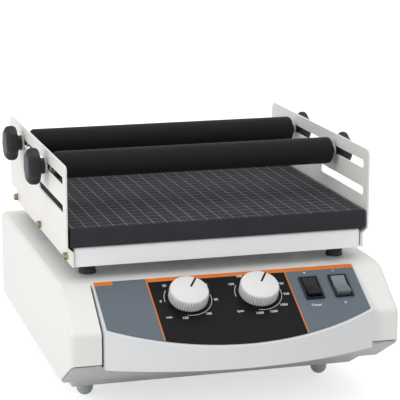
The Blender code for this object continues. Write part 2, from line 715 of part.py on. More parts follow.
def make_feet():
    """Four rubber feet: a flange under the pan and a dome with a small flat sole."""
    dome = FOOT_HEIGHT - FOOT_FLANGE_HEIGHT
    profile = [(0.0, FOOT_HEIGHT), (FOOT_FLANGE_RADIUS, FOOT_HEIGHT), (FOOT_FLANGE_RADIUS, dome), (FOOT_RADIUS, dome)]
    for step in range(DOME_STEPS + 1):
        turn = math.pi / 2 * step / DOME_STEPS
        radius = FOOT_FLAT_RADIUS + (FOOT_RADIUS - FOOT_FLAT_RADIUS) * math.cos(turn)
        profile.append((radius, FOOT_RADIUS * (1 - math.sin(turn))))
    profile.append((0.0, 0.0))
    for side, x in (("left", -FOOT_X), ("right", FOOT_X)):
        for end, y in (("front", FOOT_FRONT_Y), ("back", FOOT_BACK_Y)):
            turned(f"foot_{end}_{side}", profile, "foot_rubber", place=placed(x, y, 0.0), steps=SMALL_STEPS)


def make_tray(platform):
    """Folded tray: a flat plate with lips turned down on all four sides."""
    half_x = TRAY_WIDTH / 2
    half_y = TRAY_DEPTH / 2
    mesh = block(-half_x, half_x, -half_y, half_y, TRAY_TOP_Z - TRAY_LIP, TRAY_TOP_Z)
    work = bmesh.new()
    work.from_mesh(mesh)
    under = [face for face in work.faces if face.normal.z < -0.5]
    bmesh.ops.delete(work, geom=under, context="FACES_ONLY")
    work.to_mesh(mesh)
    work.free()
    smooth(mesh)
    tray = add_part("tray", mesh, "tray_white", platform, placed(0.0, TRAY_CENTRE_Y - PIN_Y, 0.0))
    bevel(tray, TRAY_EDGE_RADIUS)
    solidify(tray, TRAY_WALL)


def make_mat(platform):
    """Rubber mat that lies on the tray and overhangs it a little."""
    low = TRAY_TOP_Z + GAP
    mesh = block(-MAT_WIDTH / 2, MAT_WIDTH / 2, -MAT_DEPTH / 2, MAT_DEPTH / 2, low, low + MAT_THICKNESS)
    mat = add_part("platform_mat", mesh, "mat_rubber", platform, placed(0.0, TRAY_CENTRE_Y - PIN_Y, 0.0))
    bevel(mat, MAT_EDGE_RADIUS)


def make_side_plate(side, sign, platform):
    """Sheet-metal side plate: cut flat with its slots and holes, then bent with a joggle."""
    half = PLATE_LENGTH / 2
    slot_start = -half + SLOT_FRONT_INSET
    slot_rise = SLOT_HEIGHT / 2
    shift = placed(0.0, TRAY_CENTRE_Y - PIN_Y, 0.0)
    loops = [
        rounded([(-half, PLATE_BOTTOM_Z, 0), (half, PLATE_BOTTOM_Z, 0),
                 (half, PLATE_TOP_Z, PLATE_BACK_RADIUS), (-half, PLATE_TOP_Z, PLATE_FRONT_RADIUS)]),
        rectangle(slot_start, half - SLOT_BACK_INSET, UPPER_SLOT_Z - slot_rise, UPPER_SLOT_Z + slot_rise,
                  SLOT_CORNER_RADIUS),
        rectangle(slot_start, slot_start + LOWER_SLOT_LENGTH, LOWER_SLOT_Z - slot_rise, LOWER_SLOT_Z + slot_rise,
                  SLOT_CORNER_RADIUS),
    ]
    for end, share in SCREW_SHARES:
        loops.append(circle(SCREW_SHANK_RADIUS + GAP, SMALL_STEPS, share * half, SCREW_Z))
    mesh = extruded(loops, PLATE_THICKNESS, OUTLINE_YZ)
    work = bmesh.new()
    work.from_mesh(mesh)
    for height in (JOGGLE_LOW_Z, JOGGLE_HIGH_Z):
        bmesh.ops.bisect_plane(work, geom=work.verts[:] + work.edges[:] + work.faces[:],
                               plane_co=(0.0, 0.0, height), plane_no=(0.0, 0.0, 1.0))
    middle_x = sign * (PLATE_INNER_X + PLATE_THICKNESS / 2)
    for vertex in work.verts:
        share = (JOGGLE_HIGH_Z - vertex.co.z) / JOGGLE_HEIGHT
        vertex.co.x += middle_x - sign * JOGGLE_OFFSET * min(1.0, max(0.0, share))
    bmesh.ops.recalc_face_normals(work, faces=work.faces)
    work.to_mesh(mesh)
    work.free()
    add_part(f"side_plate_{side}", mesh, "plate_white", platform, shift)
    for end, share in SCREW_SHARES:
        seat = PLATE_TAB_X + PLATE_THICKNESS + GAP
        head = seat + SCREW_HEAD_HEIGHT
        profile = [(0.0, head), (SCREW_HEAD_RADIUS - SCREW_EDGE, head), (SCREW_HEAD_RADIUS, head - SCREW_EDGE),
                   (SCREW_HEAD_RADIUS, seat), (SCREW_SHANK_RADIUS, seat), (SCREW_SHANK_RADIUS, PLATE_TAB_X),
                   (0.0, PLATE_TAB_X)]
        lie = shift @ placed(0.0, share * half, SCREW_Z) @ Matrix.Rotation(sign * math.pi / 2, 4, "Y")
        turned(f"plate_screw_{side}_{end}", profile, "zinc", platform, lie, steps=TINY_STEPS)


def make_buffers():
    """Four ribbed rubber buffers between the housing top and the tray."""
    low = HOUSING_TOP_Z + GAP
    high = low + BUFFER_HEIGHT
    pitch = BUFFER_HEIGHT / (2 * BUFFER_RIBS)
    profile = [(0.0, high)]
    for step in range(2 * BUFFER_RIBS + 1):
        radius = BUFFER_RADIUS if step % 2 == 0 else BUFFER_RADIUS - BUFFER_RIB
        profile.append((radius, high - step * pitch))
    profile.append((0.0, low))
    for side, x in (("left", -BUFFER_X), ("right", BUFFER_X)):
        for end, y in (("front", -BUFFER_Y), ("back", BUFFER_Y)):
            turned(f"buffer_{end}_{side}", profile, "black_rubber", place=placed(x, PIN_Y + y, 0.0),
                   steps=SMALL_STEPS)


def make_roller(end, axis):
    """Padded roller: shouldered rod, metal core tube, foam sleeve and the left washer."""
    collar_in = COLLAR_X - COLLAR_THICKNESS
    right_tip = RIGHT_GRIP_X + ROD_GRIP
    left_tip = LEFT_GRIP_X + ROD_GRIP
    collar = [(ROD_RADIUS, COLLAR_X), (COLLAR_RADIUS, COLLAR_X), (COLLAR_RADIUS, collar_in), (ROD_RADIUS, collar_in)]
    mirrored = [(radius, -x) for radius, x in reversed(collar)]
    profile = [(0.0, right_tip), (ROD_RADIUS, right_tip)] + collar + mirrored
    profile += [(ROD_RADIUS, -left_tip), (0.0, -left_tip)]
    turned(f"{end}_roller_rod", profile, "steel", axis, AXIS_ALONG_X, steps=SMALL_STEPS)
    half = SLEEVE_LENGTH / 2
    bore = CORE_RADIUS - CORE_WALL
    core = [(bore, half), (CORE_RADIUS, half), (CORE_RADIUS, -half), (bore, -half)]
    turned(f"{end}_roller_core", core, "aluminium", axis, AXIS_ALONG_X, steps=SMALL_STEPS, closed=True)
    inner = CORE_RADIUS + GAP
    crown = quarter(SLEEVE_RADIUS, half - SLEEVE_END_RADIUS, SLEEVE_RADIUS - SLEEVE_END_RUN, half)
    sleeve = [(inner, half)] + crown + [(radius, -x) for radius, x in reversed(crown)] + [(inner, -half)]
    turned(f"{end}_roller_sleeve", sleeve, "roller_foam", axis, AXIS_ALONG_X, steps=FINE_STEPS, closed=True)
    bore = ROD_RADIUS + GAP
    outer_x = WASHER_X + WASHER_THICKNESS
    ring = [(bore, outer_x), (WASHER_RADIUS, outer_x), (WASHER_RADIUS, WASHER_X), (bore, WASHER_X)]
    lie = Matrix.Rotation(-math.pi / 2, 4, "Y")
    turned(f"{end}_washer", ring, "zinc", axis, lie, steps=SMALL_STEPS, closed=True)


def star_outline():
    """Outline of the star grip: shallow rounded lobes."""
    points = []
    count = STAR_LOBES * STAR_POINTS_PER_LOBE
    for step in range(count):
        turn = 2 * math.pi * step / count
        radius = STAR_RADIUS - STAR_LOBE_DEPTH * (1 - math.cos(STAR_LOBES * turn)) / 2
        points.append((radius * math.cos(turn), radius * math.sin(turn)))
    return points


def make_star_knob(end, side, sign, axis, grip_x, hub_length):
    """Star knob on the rod's end: lobed grip, a hub on the left side and a blind bore."""
    mesh = extruded([star_outline()], STAR_THICKNESS)
    smooth(mesh)
    knob = add_part(f"{end}_knob_{side}", mesh, "knob_black", axis)
    lie = Matrix.Rotation(sign * math.pi / 2, 4, "Y")
    knob.matrix_basis = lie @ placed(0.0, 0.0, grip_x + STAR_THICKNESS / 2)
    bevel(knob, STAR_EDGE_RADIUS)
    inner = -STAR_THICKNESS / 2
    if hub_length:
        hub = add_cutter("hub", rod(STAR_HUB_RADIUS, inner - hub_length, 0.0, FINE_STEPS), knob)
        combine(knob, hub, "UNION")
    bore = rod(ROD_RADIUS + GAP, inner - hub_length - OVERRUN, inner + ROD_GRIP + GAP, SMALL_STEPS)
    combine(knob, add_cutter("bore", bore, knob))


def ribbed_outline():
    """Outline of a dial's skirt with fine ribs."""
    points = []
    for step in range(2 * DIAL_RIBS):
        turn = math.pi * step / DIAL_RIBS
        radius = DIAL_RADIUS if step % 2 == 0 else DIAL_RADIUS - DIAL_RIB
        points.append((radius * math.cos(turn), radius * math.sin(turn)))
    return points


def make_dials(frame):
    """Ribbed dial knobs, their spindles and the potentiometers behind the panel."""
    base = GAP + LABEL_THICKNESS + GAP
    for name, x in DIALS:
        axis = pivot(name + "_dial_axis", (x, -DIAL_DOWN, 0.0), frame)
        skirt = extruded([ribbed_outline()], DIAL_HEIGHT)
        dial = add_part(name + "_dial", skirt, "dial_white", axis, placed(0.0, 0.0, base + DIAL_HEIGHT / 2))
        cap = rod(DIAL_CAP_RADIUS, -DIAL_HEIGHT / 2, DIAL_HEIGHT / 2 + DIAL_CAP_HEIGHT, ROUND_STEPS)
        combine(dial, add_cutter(name + "_dial_cap", cap, dial), "UNION")
        spindle_top = base + DIAL_BORE_DEPTH
        bore_top = spindle_top + GAP - base - DIAL_HEIGHT / 2
        bore = rod(SPINDLE_RADIUS + GAP, -DIAL_HEIGHT / 2 - OVERRUN, bore_top, SMALL_STEPS)
        combine(dial, add_cutter(name + "_dial_bore", bore, dial))
        under = rod(BUSH_RADIUS + GAP, -DIAL_HEIGHT / 2 - OVERRUN, -DIAL_HEIGHT / 2 + OVERRUN / 2, SMALL_STEPS)
        combine(dial, add_cutter(name + "_dial_relief", under, dial))
        spindle = rod(SPINDLE_RADIUS, spindle_top - SPINDLE_LENGTH, spindle_top, SMALL_STEPS)
        smooth(spindle)
        add_part(name + "_spindle", spindle, "steel", axis)
        pot_top = -PANEL_WALL - GAP
        pot_low = pot_top - POT_DEPTH
        bore_low = spindle_top - SPINDLE_LENGTH - GAP
        hollow = SPINDLE_RADIUS + GAP
        bush_top = base
        profile = [(hollow, bush_top), (BUSH_RADIUS, bush_top), (BUSH_RADIUS, pot_top), (POT_RADIUS, pot_top),
                   (POT_RADIUS, pot_low), (0.0, pot_low)]
        if bore_low > pot_low:
            profile = [(0.0, bore_low), (hollow, bore_low)] + profile
        turned(name + "_potentiometer", profile, "cast_grey", frame, placed(x, -DIAL_DOWN, 0.0), steps=FINE_STEPS)


def make_switches(frame):
    """Rocker switches: a black body with a rim, and a rocker on a cross axis."""
    seat = GAP + LABEL_THICKNESS + GAP
    half_x = SWITCH_WIDTH / 2
    half_y = SWITCH_LENGTH / 2
    pocket_x = half_x - SWITCH_RIM
    pocket_y = half_y - SWITCH_RIM
    rim_top = seat + SWITCH_RIM_HEIGHT
    box_x = half_x - SWITCH_BOX_INSET
    box_y = half_y - SWITCH_BOX_INSET
    for name, x in SWITCHES:
        spot = placed(x, -SWITCH_DOWN, 0.0)
        body = add_part(name + "_switch_body", block(-half_x, half_x, -half_y, half_y, seat, rim_top),
                        "switch_black", frame, spot)
        box = block(-box_x, box_x, -box_y, box_y, -SWITCH_BOX_DEPTH, rim_top - SWITCH_RIM_HEIGHT / 2)
        combine(body, add_cutter(name + "_switch_box", box, frame, spot), "UNION")
        pocket = block(-pocket_x, pocket_x, -pocket_y, pocket_y, rim_top - SWITCH_POCKET_DEPTH, rim_top + OVERRUN)
        combine(body, add_cutter(name + "_switch_pocket", pocket, frame, spot))
        half_length = pocket_y - ROCKER_END_GAP
        half_width = pocket_x - ROCKER_SIDE_GAP
        outline = [
            (-half_length, ROCKER_END_RISE), (0.0, ROCKER_END_RISE - ROCKER_DIP), (half_length, ROCKER_END_RISE),
            (half_length, 0.0), (half_length / 2, -ROCKER_KEEL), (-half_length / 2, -ROCKER_KEEL),
            (-half_length, 0.0),
        ]
        tilt = -ROCKER_TILT
        axis = pivot(name + "_rocker_axis", (x, -SWITCH_DOWN, rim_top - ROCKER_PIVOT_DEPTH), frame, (tilt, 0.0, 0.0))
        rocker = add_part(name + "_rocker", extruded([outline], 2 * half_width, OUTLINE_YZ),
                          "rocker_grey" if name == "mains" else "switch_black", axis)
        bevel(rocker, ROCKER_SIDE_GAP, segments=1, angle=math.radians(40.0))


def make_drive_bracket():
    """Bent steel bridge that stands in the pan and carries motor and bearing tube."""
    half = BRACKET_WIDTH / 2
    low = PAN_FLOOR_Z + GAP
    inner = half - BRACKET_WALL
    under = BRACKET_TOP_Z - BRACKET_WALL
    outline = [(-half, low), (-half, BRACKET_TOP_Z), (half, BRACKET_TOP_Z), (half, low), (inner, low),
               (inner, under), (-inner, under), (-inner, low)]
    bracket = add_part("drive_bracket", extruded([outline], BRACKET_LENGTH, OUTLINE_XZ), "steel",
                       place=placed(0.0, SHAFT_Y, 0.0))
    tube = rod(BORE_RADIUS + BEARING_TUBE_WALL, BEARING_TUBE_LOW_Z, BEARING_TUBE_HIGH_Z, ROUND_STEPS)
    combine(bracket, add_cutter("bearing_tube", tube, bracket), "UNION")
    bore = rod(BORE_RADIUS, BEARING_TUBE_LOW_Z - OVERRUN, BEARING_TUBE_HIGH_Z + OVERRUN, ROUND_STEPS)
    combine(bracket, add_cutter("bearing_bore", bore, bracket))
    hole = rod(MOTOR_SHAFT_RADIUS + GAP, under - OVERRUN, BRACKET_TOP_Z + OVERRUN, SMALL_STEPS)
    combine(bracket, add_cutter("motor_shaft_hole", hole, bracket, placed(MOTOR_X, 0.0, 0.0)))


def make_bearing(name, low, parent, x, y):
    """Ball bearing as a closed ring with chamfered edges."""
    high = low + BEARING_HEIGHT
    bore = SHAFT_RADIUS + GAP
    edge = BEARING_EDGE
    ring = [(bore, high), (BEARING_RADIUS - edge, high), (BEARING_RADIUS, high - edge), (BEARING_RADIUS, low + edge),
            (BEARING_RADIUS - edge, low), (bore, low)]
    turned(name, ring, "steel", parent, placed(x, y, 0.0), steps=FINE_STEPS, closed=True)


def make_eccentric(shaft_axis):
    """Eccentric shaft with its crank pin, the driven pulley and the counterweight."""
    profile = [(0.0, WEB_HIGH_Z), (WEB_RADIUS, WEB_HIGH_Z), (WEB_RADIUS, WEB_LOW_Z), (SHAFT_RADIUS, WEB_LOW_Z),
               (SHAFT_RADIUS, SHAFT_LOW_Z), (0.0, SHAFT_LOW_Z)]
    shaft = turned("eccentric_shaft", profile, "steel", shaft_axis)
    pin = rod(PIN_RADIUS, WEB_HIGH_Z - WEB_THICKNESS / 2, PIN_TOP_Z)
    combine(shaft, add_cutter("crank_pin", pin, shaft_axis, placed(0.0, SHAFT_THROW, 0.0)), "UNION")
    steps = ROUND_STEPS // 2
    outer = [math.pi + math.pi * step / steps for step in range(steps + 1)]
    inner_radius = WEB_RADIUS + GAP
    arc = [(COUNTERWEIGHT_RADIUS * math.cos(turn), COUNTERWEIGHT_RADIUS * math.sin(turn)) for turn in outer]
    back = [(inner_radius * math.cos(turn), inner_radius * math.sin(turn)) for turn in reversed(outer)]
    add_part("counterweight", extruded([arc + back], WEB_THICKNESS), "cast_grey", shaft_axis,
             placed(0.0, 0.0, WEB_LOW_Z + WEB_THICKNESS / 2))


def pulley_profile(radius, bore, hub_radius, hub_top):
    """Profile of a flanged belt pulley with its hub above it."""
    low = PULLEY_LOW_Z
    groove_low = low + PULLEY_FLANGE_HEIGHT
    groove_high = groove_low + BELT_WIDTH + 2 * GAP
    high = groove_high + PULLEY_FLANGE_HEIGHT
    rim = radius + PULLEY_FLANGE
    return [(bore, hub_top), (hub_radius, hub_top), (hub_radius, high), (rim, high), (rim, groove_high),
            (radius, groove_high), (radius, groove_low), (rim, groove_low), (rim, low), (bore, low)]


def make_pulleys_and_belt(shaft_axis, motor_axis):
    """Two pulleys and the flat belt that joins them."""
    hub_top = BEARING_TUBE_LOW_Z - GAP
    turned("drive_pulley", pulley_profile(PULLEY_RADIUS, SHAFT_RADIUS + GAP, PULLEY_HUB_RADIUS, hub_top), "aluminium",
           shaft_axis, steps=ROUND_STEPS, closed=True)
    motor_top = BRACKET_TOP_Z + MOTOR_SHAFT_REACH
    small = pulley_profile(MOTOR_PULLEY_RADIUS, 0.0, MOTOR_SHAFT_RADIUS, motor_top)
    turned("motor_pulley", small, "aluminium", motor_axis, steps=FINE_STEPS)
    low = PULLEY_LOW_Z + PULLEY_FLANGE_HEIGHT + GAP
    loops = []
    for grow in (GAP + BELT_THICKNESS, GAP):
        big = PULLEY_RADIUS + grow
        little = MOTOR_PULLEY_RADIUS + grow
        lean = math.acos((big - little) / MOTOR_X)
        points = []
        for step in range(ROUND_STEPS + 1):
            turn = lean + (2 * math.pi - 2 * lean) * step / ROUND_STEPS
            points.append((big * math.cos(turn), big * math.sin(turn)))
        for step in range(SMALL_STEPS + 1):
            turn = -lean + 2 * lean * step / SMALL_STEPS
            points.append((MOTOR_X + little * math.cos(turn), little * math.sin(turn)))
        loops.append(points)
    add_part("drive_belt", extruded(loops, BELT_WIDTH), "black_rubber",
             place=placed(0.0, SHAFT_Y, low + BELT_WIDTH / 2))


def make_motor():
    """Flat motor can on the bracket, with a bore for its turning shaft."""
    low = BRACKET_TOP_Z + GAP
    high = low + MOTOR_HEIGHT
    bore = MOTOR_SHAFT_RADIUS + GAP
    bore_top = BRACKET_TOP_Z + MOTOR_SHAFT_REACH + GAP
    crown = quarter(MOTOR_RADIUS, high - MOTOR_EDGE_RADIUS, MOTOR_RADIUS - MOTOR_EDGE_RADIUS, high)
    profile = [(0.0, high)] + crown + [(MOTOR_RADIUS, low), (bore, low), (bore, bore_top), (0.0, bore_top)]
    turned("drive_motor", profile, "cast_grey", place=placed(MOTOR_X, SHAFT_Y, 0.0), steps=ROUND_STEPS)


def make_platform_hub(pivot_empty):
    """Bearing hub screwed under the tray, which takes the crank pin's bearing."""
    high = TRAY_UNDERSIDE_Z - GAP
    flange_low = high - HUB_FLANGE_THICKNESS
    wall = BORE_RADIUS + HUB_WALL
    profile = [(0.0, high), (HUB_FLANGE_RADIUS, high), (HUB_FLANGE_RADIUS, flange_low), (wall, flange_low),
               (wall, HUB_LOW_Z), (BORE_RADIUS, HUB_LOW_Z), (BORE_RADIUS, flange_low), (0.0, flange_low)]
    turned("platform_hub", profile, "aluminium", pivot_empty, steps=ROUND_STEPS)
    make_bearing("crank_bearing", CRANK_BEARING_LOW_Z, pivot_empty, 0.0, 0.0)


def make_control_board():
    """Circuit board on the pan's standoffs."""
    low = PAN_FLOOR_Z + STANDOFF_HEIGHT + GAP
    add_part("control_board", block(-BOARD_WIDTH / 2, BOARD_WIDTH / 2, BOARD_FRONT_Y, BOARD_FRONT_Y + BOARD_DEPTH,
                                    low, low + BOARD_THICKNESS), "board_green")


def make_mains_inlet():
    """Appliance inlet in the back wall: flanged body, socket pocket and three flat pins."""
    half_x = INLET_WIDTH / 2
    half_z = INLET_HEIGHT / 2
    body = rectangle(-half_x, half_x, -half_z, half_z)
    inlet = add_part("mains_inlet", extruded([body], INLET_DEPTH, OUTLINE_XZ), "switch_black",
                     place=placed(INLET_X, BACK_Y - INLET_DEPTH / 2, INLET_Z))
    inner_face = INLET_DEPTH / 2 - HOUSING_WALL - GAP
    flange = block(-half_x - INLET_FLANGE, half_x + INLET_FLANGE, inner_face - INLET_FLANGE_THICKNESS, inner_face,
                   -half_z - INLET_FLANGE, half_z + INLET_FLANGE)
    combine(inlet, add_cutter("inlet_flange", flange, inlet), "UNION")
    pocket_x = half_x - INLET_RIM
    pocket_z = half_z - INLET_RIM
    socket = rounded([(-pocket_x, -pocket_z, 0), (pocket_x, -pocket_z, 0), (pocket_x, pocket_z, INLET_CORNER),
                      (-pocket_x, pocket_z, INLET_CORNER)])
    pocket = extruded([socket], INLET_POCKET + OVERRUN, OUTLINE_XZ)
    combine(inlet, add_cutter("inlet_pocket", pocket, inlet,
                              placed(0.0, (INLET_DEPTH - INLET_POCKET + OVERRUN) / 2, 0.0)))
    floor_y = INLET_DEPTH / 2 - INLET_POCKET
    for share in (-1, 0, 1):
        middle_x = share * INLET_PIN_PITCH
        middle_z = INLET_EARTH_RISE if share == 0 else 0.0
        pin = block(middle_x - INLET_PIN_WIDTH / 2, middle_x + INLET_PIN_WIDTH / 2, floor_y - OVERRUN / 4,
                    floor_y + INLET_PIN_LENGTH, middle_z - INLET_PIN_HEIGHT / 2, middle_z + INLET_PIN_HEIGHT / 2)
        combine(inlet, add_cutter("inlet_pin", pin, inlet), "UNION")


def main():
    """Build every part in its place."""
    panel_frame = pivot("panel_frame", (0.0, PANEL_TOP_Y, PANEL_TOP_Z), rotation=(PANEL_SLOPE, 0.0, 0.0))
    shaft_axis = pivot("shaft_axis", (0.0, SHAFT_Y, 0.0))
    motor_axis = pivot("motor_axis", (MOTOR_X, SHAFT_Y, 0.0))
    platform = pivot("platform_axis", (0.0, PIN_Y, 0.0))

    make_housing_shell()
    make_front_panel(panel_frame)
    make_control_label(panel_frame)
    make_base_pan()
    make_feet()
    make_dials(panel_frame)
    make_switches(panel_frame)
    make_mains_inlet()
    make_control_board()

    make_drive_bracket()
    make_motor()
    make_bearing("lower_bearing", BEARING_TUBE_LOW_Z + GAP, None, 0.0, SHAFT_Y)
    make_bearing("upper_bearing", BEARING_TUBE_HIGH_Z - GAP - BEARING_HEIGHT, None, 0.0, SHAFT_Y)
    make_eccentric(shaft_axis)
    make_pulleys_and_belt(shaft_axis, motor_axis)

    make_buffers()
    make_platform_hub(platform)
    make_tray(platform)
    make_mat(platform)
    for side, sign in (("left", -1), ("right", 1)):
        make_side_plate(side, sign, platform)
    for end, y in (("front", FRONT_ROLLER_Y), ("back", BACK_ROLLER_Y)):
        axis = pivot(end + "_roller_axis", (0.0, y, ROLLER_Z))
        make_roller(end, axis)
        make_star_knob(end, "left", -1, axis, LEFT_GRIP_X, STAR_HUB_LENGTH)
        make_star_knob(end, "right", 1, axis, RIGHT_GRIP_X, 0.0)
    bpy.context.view_layer.update()


main()
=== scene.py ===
import json
import math

import bmesh
import bpy
from mathutils import Matrix, Vector


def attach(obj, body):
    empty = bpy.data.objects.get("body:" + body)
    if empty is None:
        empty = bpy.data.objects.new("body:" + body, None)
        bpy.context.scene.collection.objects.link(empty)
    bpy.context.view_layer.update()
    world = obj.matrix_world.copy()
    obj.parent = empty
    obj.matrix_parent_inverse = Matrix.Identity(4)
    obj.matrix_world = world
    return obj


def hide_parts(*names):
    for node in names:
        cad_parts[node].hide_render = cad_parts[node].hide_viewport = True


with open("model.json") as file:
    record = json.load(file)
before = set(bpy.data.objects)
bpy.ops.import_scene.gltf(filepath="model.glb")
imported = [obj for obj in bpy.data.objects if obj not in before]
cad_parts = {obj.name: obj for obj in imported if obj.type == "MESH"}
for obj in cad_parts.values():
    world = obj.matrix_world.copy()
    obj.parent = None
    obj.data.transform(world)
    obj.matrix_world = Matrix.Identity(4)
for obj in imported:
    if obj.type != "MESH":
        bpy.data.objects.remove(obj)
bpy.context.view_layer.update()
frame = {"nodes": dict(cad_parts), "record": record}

NODES = frame["nodes"]

# The middle plane of housing and tray, the plane of the sloping control face, and the clearance between faces
MIDDLE_X = 0.0033
SLOPE = math.radians(28.5)
PANEL_TOP = Vector((MIDDLE_X, -0.0920, 0.1010))
PANEL = Matrix.Translation(PANEL_TOP) @ Matrix.Rotation(SLOPE, 4, "X")
GAP = 0.0003
WELD_DISTANCE = 0.00002
TINY = 1e-7
SIDES = (("left", -1), ("right", 1))


# Materials

COARSE_DETAIL, FINE_DETAIL = 4.0, 3.0
CLOUD_BAND, SPECKLE_BAND, ROUGH_BAND = (0.32, 0.68), (0.35, 0.65), (0.3, 0.7)
ROUGH_SPREAD, LEAST_ROUGH = 0.05, 0.02
SHEEN_ROUGHNESS = 0.5


def linear(display):
    """A colour given as 0 to 255 display values, as the shader wants it."""
    shares = [value / 255 for value in display]
    made = [share / 12.92 if share <= 0.04045 else ((share + 0.055) / 1.055) ** 2.4 for share in shares]
    return (*made, 1.0)


def scaled(colour, factor):
    """A colour made darker or lighter."""
    return (*(min(1.0, channel * factor) for channel in colour[:3]), 1.0)


def noise(tree, where, scale, detail):
    """A noise texture's value."""
    node = tree.nodes.new("ShaderNodeTexNoise")
    node.inputs["Scale"].default_value = scale
    node.inputs["Detail"].default_value = detail
    tree.links.new(where, node.inputs["Vector"])
    return node.outputs["Fac"]


def remap(tree, value, source, target):
    """A value carried from one range to another."""
    node = tree.nodes.new("ShaderNodeMapRange")
    for socket, number in zip(("From Min", "From Max", "To Min", "To Max"), (*source, *target)):
        node.inputs[socket].default_value = number
    tree.links.new(value, node.inputs["Value"])
    return node.outputs["Result"]


def surface(name, display, rough, metallic=0.0, specular=0.5, sheen=0.0, mottle=0.04, mottle_scale=60.0,
            grain_scale=2200.0, grain=0.12, grain_depth=0.00008, speckle=0.0, brushed=None):
    """A solid finish: faint cloudy variation, fine grain in the bump, and uneven roughness."""
    colour = linear(display)
    material = bpy.data.materials.new(name)
    material.use_nodes = True
    tree = material.node_tree
    nodes, links = tree.nodes, tree.links
    shader = nodes["Principled BSDF"]
    shader.inputs["Metallic"].default_value = metallic
    shader.inputs["Specular IOR Level"].default_value = specular
    shader.inputs["Sheen Weight"].default_value = sheen
    shader.inputs["Sheen Roughness"].default_value = SHEEN_ROUGHNESS
    where = nodes.new("ShaderNodeTexCoord").outputs["Object"]
    if brushed:
        stretch = nodes.new("ShaderNodeMapping")
        stretch.inputs["Scale"].default_value = brushed
        links.new(where, stretch.inputs["Vector"])
        where = stretch.outputs["Vector"]
    clouds = noise(tree, where, mottle_scale, COARSE_DETAIL)
    fine = noise(tree, where, grain_scale, FINE_DETAIL)
    ramp = nodes.new("ShaderNodeValToRGB")
    for element, position, factor in zip(ramp.color_ramp.elements, CLOUD_BAND, (1 - mottle, 1 + mottle)):
        element.position = position
        element.color = scaled(colour, factor)
    links.new(clouds, ramp.inputs["Fac"])
    colour_out = ramp.outputs["Color"]
    if speckle:
        tint = nodes.new("ShaderNodeVectorMath")
        tint.operation = "SCALE"
        links.new(colour_out, tint.inputs["Vector"])
        links.new(remap(tree, fine, SPECKLE_BAND, (1 - speckle, 1 + speckle)), tint.inputs["Scale"])
        colour_out = tint.outputs["Vector"]
    links.new(colour_out, shader.inputs["Base Color"])
    bump = nodes.new("ShaderNodeBump")
    bump.inputs["Strength"].default_value = grain
    bump.inputs["Distance"].default_value = grain_depth
    links.new(fine, bump.inputs["Height"])
    links.new(bump.outputs["Normal"], shader.inputs["Normal"])
    spread = (max(LEAST_ROUGH, rough - ROUGH_SPREAD), min(1.0, rough + ROUGH_SPREAD))
    links.new(remap(tree, clouds, ROUGH_BAND, spread), shader.inputs["Roughness"])
    return material


MOULDING = {"mottle": 0.012, "grain": 0.25, "grain_scale": 1500.0, "grain_depth": 0.00006}
POWDER = {"grain": 0.35, "grain_scale": 1100.0, "grain_depth": 0.00005}
LOOKS = {
    "housing_white": surface("housing_white_moulding", (236, 236, 233), 0.42, **MOULDING),
    "panel_white": surface("panel_white_moulding", (225, 226, 227), 0.40, **MOULDING),
    "label_dark": surface("label_film_black", (16, 16, 19), 0.45, specular=0.10, grain=0.08),
    "pan_grey": surface("pan_grey_coat", (180, 182, 179), 0.5, mottle=0.02, grain=0.2, grain_scale=1200.0),
    "foot_rubber": surface("foot_blue_grey_rubber", (176, 188, 192), 0.55, mottle=0.05, grain=0.3),
    "plate_white": surface("plate_cream_powder", (238, 236, 232), 0.45, mottle=0.01, **POWDER),
    "tray_white": surface("tray_white_powder", (248, 249, 250), 0.42, mottle=0.012, speckle=0.02, **POWDER),
    "mat_rubber": surface("mat_black_rubber", (53, 52, 57), 0.8, specular=0.16, mottle=0.16, mottle_scale=45.0,
                          grain=0.4),
    "roller_foam": surface("roller_black_foam", (27, 27, 30), 0.75, specular=0.16, mottle=0.10,
                           mottle_scale=120.0, sheen=0.05, grain=0.6, grain_scale=1600.0, grain_depth=0.00015),
    "knob_black": surface("knob_charcoal_moulding", (36, 36, 41), 0.5, specular=0.25, mottle=0.05, grain=0.4,
                          grain_scale=1400.0),
    "dial_white": surface("dial_white_moulding", (228, 228, 227), 0.42, mottle=0.012, grain=0.25),
    "switch_black": surface("switch_black_gloss", (18, 22, 28), 0.32, specular=0.2, grain=0.06),
    "rocker_grey": surface("rocker_smoke_grey", (118, 126, 130), 0.25, mottle=0.06, mottle_scale=90.0, grain=0.06),
    "zinc": surface("yellow_zinc_plating", (160, 150, 116), 0.36, metallic=1.0, mottle=0.22, mottle_scale=500.0,
                    grain=0.2),
    "steel": surface("turned_steel", (178, 178, 178), 0.32, metallic=1.0, mottle=0.05, grain=0.15,
                     brushed=(18.0, 1.0, 1.0)),
    "aluminium": surface("turned_aluminium", (205, 205, 206), 0.34, metallic=1.0, grain=0.15),
    "black_rubber": surface("black_rubber", (38, 38, 38), 0.6, mottle=0.08, grain=0.35),
    "board_green": surface("board_green", (32, 96, 60), 0.45, mottle=0.05, grain=0.1),
    "cast_grey": surface("cast_grey_metal", (150, 150, 150), 0.5, metallic=0.6, mottle=0.05, grain=0.3),
}
LABEL_GREY = surface("label_film_grey", (94, 105, 114), 0.42, specular=0.3, mottle=0.02, grain=0.08, speckle=0.02)
LABEL_ORANGE = surface("label_print_orange", (220, 118, 42), 0.42, specular=0.25, mottle=0.02, grain=0.06)
PRINT_WHITE = surface("label_print_white", (232, 234, 236), 0.45, mottle=0.01, grain=0.05)
LINE_BLACK = surface("dial_line_black", (14, 14, 15), 0.5, specular=0.15, mottle=0.03, grain=0.05)
# Lighter grey for the faces of the mat's raised ribs: a painted highlight where they catch the light.
MAT_RIB_HIGHLIGHT = surface("mat_rib_painted_highlight", (134, 132, 140), 0.7, specular=0.2, mottle=0.3, mottle_scale=220.0, grain=0.3)
COLLAR_PALE = surface("collar_pale_nylon", (214, 214, 208), 0.45, mottle=0.02, grain=0.15)
